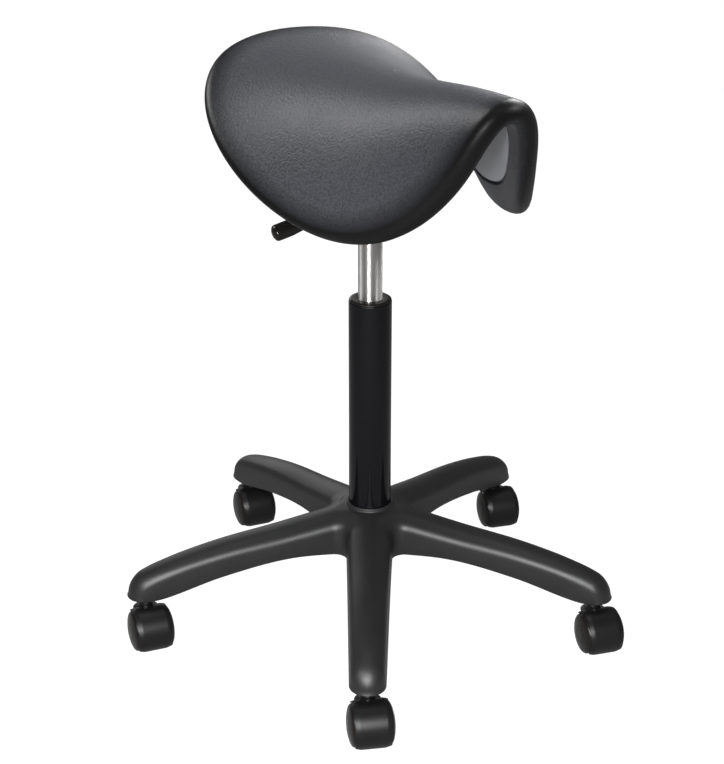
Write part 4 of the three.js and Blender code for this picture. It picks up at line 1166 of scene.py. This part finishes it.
def bar(path, radius, sides=24):
    """A round bar along (x, z) points in an upright plane, closed at both ends."""
    path = np.array(path, float)
    ahead = np.gradient(path, axis=0)
    ahead /= np.linalg.norm(ahead, axis=1)[:, None]
    out, side = radius * circle(full_turn(sides)).T
    loops = []
    for (x, z), (dx, dz) in zip(path, ahead):
        loops.append(np.column_stack([x - dz * out, side, z + dx * out]))
    return loft(loops)


def lever_shape():
    """The bent bar, with the eye that turns on the pivot."""
    tip, foot = np.array(TIP, float), np.array(KNEE_FOOT, float)
    end = foot + (tip - foot) * ROD_IN_GRIP
    path = rounded([(*ROD_START, 0), (*KNEE, BEND_RADIUS), (*KNEE_FOOT, BEND_RADIUS), (*end, 0)], 10)
    hub = turned([(2.8, -6, 0), (6.5, -6, 0.7), (6.5, 6, 0.7), (2.8, 6, 0)], 40)
    hub = moved(hub, Matrix.Translation((PIVOT, 0, 0)) @ Matrix.Rotation(math.pi / 2, 4, "X"))
    return joined(bar(path, ROD_RADIUS), hub)


to_lever = Matrix.Rotation(LEVER_AZIMUTH, 4, "Z") @ Matrix.Translation((0, 0, LEVER_LEVEL))
lever = add_piece("lever_bar", moved(lever_shape(), to_lever), "lever", ZINC, "lever_rod")
print("lever bar points:", len(lever.data.vertices))


# %% Grip
def grip_shape():
    """A slim knob that swells from its neck and has a full round end."""
    profile = [
        (4.3, 14, 0), (4.3, 0, 0.4), (6.5, 0, 1.4), (8.17, 8.4, 14), (9.5, 21, 40), (9.5, 39.5, 6.5),
        (3.9, GRIP_LENGTH, 3), (0.01, GRIP_LENGTH, 0),
    ]
    along = Vector((TIP[0] - KNEE_FOOT[0], 0, TIP[1] - KNEE_FOOT[1])).normalized()
    start = Vector((TIP[0], 0, TIP[1])) - along * GRIP_LENGTH
    lean = along.to_track_quat("Z", "Y").to_matrix().to_4x4()
    return moved(turned(profile, 64, 9), Matrix.Translation(start) @ lean)


add_piece("lever_knob", moved(grip_shape(), to_lever), "lever", GLOSS, "lever_grip")
print("grip reaches", GRIP_LENGTH, "mm along the lever")

# %% [markdown]
# ## The casters
# Each caster has a hood like a slice of pipe, closed down the middle by a web, and two wheels that
# stand a little out of its ends. All five are alike, so they are drawn once about the stem's axis
# and placed five times. The hood is its rounded section carried round the axle, and narrower at
# both ends so that its four corners come out round. The wheels are turned about the axle, with a
# domed face, a wide round shoulder and a barely crowned tread.

# %% Caster values, in millimetres
CASTER_HEADINGS = (10, 17, 16, 23, 22)
AXLE = (0, -20, 24)
WHEEL_RADIUS = 24
WHEEL_INNER, WHEEL_OUTER = 9.3, 26
TREAD_CROWN = 0.1
HOOD_HALF, HOOD_CORNER, HOOD_LIP = 20.2, 6.5, 0.9
HOOD_INNER, HOOD_OUTER = 25, 27
HOOD_FRONT, HOOD_BACK = math.radians(36), math.radians(230)
HOOD_TOP = 51
WEB_RADIUS, WEB_HALF = 26, 4.5
BOSS_RADIUS = 8.7


def caster_place(index):
    """The placing of one caster about its stem."""
    spot = CASTER_CIRCLE * circle(arm_angle(index))
    return Matrix.Translation((*spot, 0)) @ Matrix.Rotation(math.radians(CASTER_HEADINGS[index]), 4, "Z")


print("hood from", round(math.degrees(HOOD_FRONT)), "to", round(math.degrees(HOOD_BACK)), "degrees")


# %% Hood
def hood_section(scale):
    """The closed section of the hood as (along the axle, radius), thinner where scale is less."""
    middle = (HOOD_INNER + HOOD_OUTER) / 2
    inside = [(0, HOOD_INNER, 0), (HOOD_HALF, HOOD_INNER, 0.3), (HOOD_HALF, HOOD_INNER + 0.8, 0.4)]
    right = rounded(inside + [(HOOD_HALF - 5, HOOD_OUTER, 7), (0, HOOD_OUTER, 0)])
    section = np.vstack([right, right[::-1][1:-1] * (-1, 1)])
    section[:, 1] = middle + (section[:, 1] - middle) * scale
    return section


def hood_stations():
    """Turns about the axle with the hood's share of full width and of full thickness at each."""
    edge = []
    for bend in np.linspace(0, math.pi / 2, 12):
        inward = HOOD_CORNER * (1 - math.cos(bend))
        width = 1 - HOOD_CORNER * (1 - math.sin(bend)) / HOOD_HALF
        thickness = max(0.3, math.sqrt(1 - (1 - min(1, inward / HOOD_LIP)) ** 2))
        edge.append((inward / HOOD_OUTER, width, thickness))
    reach = HOOD_CORNER / HOOD_OUTER
    stations = [(HOOD_FRONT + turn, width, thickness) for turn, width, thickness in edge]
    stations += [(turn, 1, 1) for turn in np.linspace(HOOD_FRONT + reach, HOOD_BACK - reach, 41)[1:-1]]
    stations += [(HOOD_BACK - turn, width, thickness) for turn, width, thickness in edge[::-1]]
    return stations


def hood_shape():
    """The cover swept round the axle, the web between the wheels, and the boss for the stem."""
    loops = []
    for turn, width, thickness in hood_stations():
        section = hood_section(thickness) * (width, 1)
        around = AXLE[1:] + section[:, 1:] * circle(turn)
        loops.append(np.column_stack([section[:, 0], around]))
    fan = circle(np.linspace(HOOD_FRONT, HOOD_BACK, 41)) * WEB_RADIUS
    web = loft([[(x, *AXLE[1:])] + [(x, *(AXLE[1:] + p)) for p in fan] for x in (-WEB_HALF, WEB_HALF)])
    collar = [
        (5.9, 21.5, 0), (5.9, HOOD_TOP, 0.4), (BOSS_RADIUS, HOOD_TOP, 1.1),
        (BOSS_RADIUS, 45.5, 5), (15, 42, 0),
    ]
    boss = [(BOSS_RADIUS, 46, 0), (BOSS_RADIUS, 21.2, 1.5), (0.01, 21.2, 0)]
    return joined(loft(loops), web, turned(collar, 56), turned(boss, 56))


hood = hood_shape()
print("hood faces:", len(hood[1]))


# %% Wheel
def wheel_shape():
    """A turned wheel with its axis along X and its domed face outwards."""
    edge = WHEEL_RADIUS - TREAD_CROWN
    dome = [(0.01, WHEEL_OUTER, 0), (9.5, WHEEL_OUTER - 0.1, 30), (19, WHEEL_OUTER - 2.3, 20)]
    tread = [(edge, WHEEL_OUTER - 4.7, 6.5), (WHEEL_RADIUS, 14.5, 0), (edge, WHEEL_INNER, 1.4)]
    hollow = [(20.2, WHEEL_INNER, 0.6), (19.8, WHEEL_INNER + 3, 1), (6.6, WHEEL_INNER + 3, 1)]
    bore = [(6.2, WHEEL_INNER, 0.5), (3.3, WHEEL_INNER, 0.3), (3.3, 20, 0), (0.01, 20, 0)]
    face_out = Matrix.Translation(AXLE) @ Matrix.Rotation(math.pi / 2, 4, "Y")
    return moved(turned(dome + tread + hollow + bore, 112), face_out)


wheel = wheel_shape()
print("wheel faces:", len(wheel[1]))


# %% Stem
def stem_shape():
    """The steel stem with the collar that shows in the gap under the arm."""
    foot = [(0.01, 24, 0), (5.5, 24, 1), (5.5, 51.3, 0.2)]
    collar = [(8.5, 51.3, 0.7), (8.5, 54.7, 0.9), (5.5, 55, 0.3)]
    head = [(5.5, 75.8, 0.5), (4.1, STEM_TOP, 0.6), (0.01, STEM_TOP, 0)]
    return turned(foot + collar + head, 48)


stem = stem_shape()
CASTER_PIECES = (
    ("hood_moulding", hood, HOOD_NYLON, "black_nylon", "hood"),
    ("steel_stem", stem, ZINC, "zinc_steel", "stem"),
)
to_axle = Matrix.Translation((0, AXLE[1], 0))
half_turn = to_axle @ Matrix.Rotation(math.pi, 4, "Z") @ to_axle.inverted()
for number in range(1, ARM_COUNT + 1):
    caster, place = f"caster_{number}", caster_place(number - 1)
    for piece, shape, material, slot, node in CASTER_PIECES:
        add_piece(f"{caster}_{piece}", moved(shape, place), caster, material, f"{caster}_{node}")
    for side, placed in (("right", moved(wheel, place)), ("left", moved(wheel, place @ half_turn))):
        body, node = f"wheel_{number}_{side}", f"{caster}_wheel_{side}"
        add_piece(f"{caster}_{side}_wheel", placed, body, GLOSS, node)
print("casters placed:", ARM_COUNT)

# %% [markdown]
# ## The pieces that stay as they are
# Washers, rings, screws and other inner parts already have the right shape in the CAD model. They
# only need a finish, which goes by the slot that the record gives each of them.

# %% Finishes for the carried-over nodes
FINISH_OF_SLOT = {
    "skin_foam": FOAM,
    "grey_panel": PANEL,
    "plywood": PLYWOOD,
    "black_nylon": NYLON,
    "black_plastic": GLOSS,
    "painted_tube": ENAMEL,
    "bright_steel": CHROME,
    "zinc_steel": ZINC,
    "pressed_steel": POWDER,
    "rubber": RUBBER,
}
slot_of = {part["node"]: part["material_slot"] for part in frame["record"]["subparts"]}
for name, node in frame["nodes"].items():
    node.data.materials.clear()
    node.data.materials.append(FINISH_OF_SLOT[slot_of[name]])
print("nodes with a finish:", len(frame["nodes"]))

# %% [markdown]
# ## Which light falls on what
# A photographer keeps each light off the other parts of a thing with black cards. Light linking does
# the same here: the lights that are named for the saddle reach only what rides with the saddle, and
# those for the base reach only the base, its casters and the floor. Without it, the lights behind
# the saddle would draw a second line along every arm.

# %% Light linking
SADDLE_BODIES = ("seat", "lever", "valve", "swivel")
sides = {name: bpy.data.collections.new(f"lit_with_the_{name}") for name in ("seat", "base")}
for piece in [o for o in bpy.data.objects if o.type == "MESH"]:
    body = piece.parent.name if piece.parent else "base"
    side = "seat" if body.endswith(SADDLE_BODIES) else "base"
    sides[side].objects.link(piece)
for light in [o for o in bpy.data.objects if o.type == "LIGHT"]:
    light.light_linking.receiver_collection = sides[light.name.split("_")[0]]
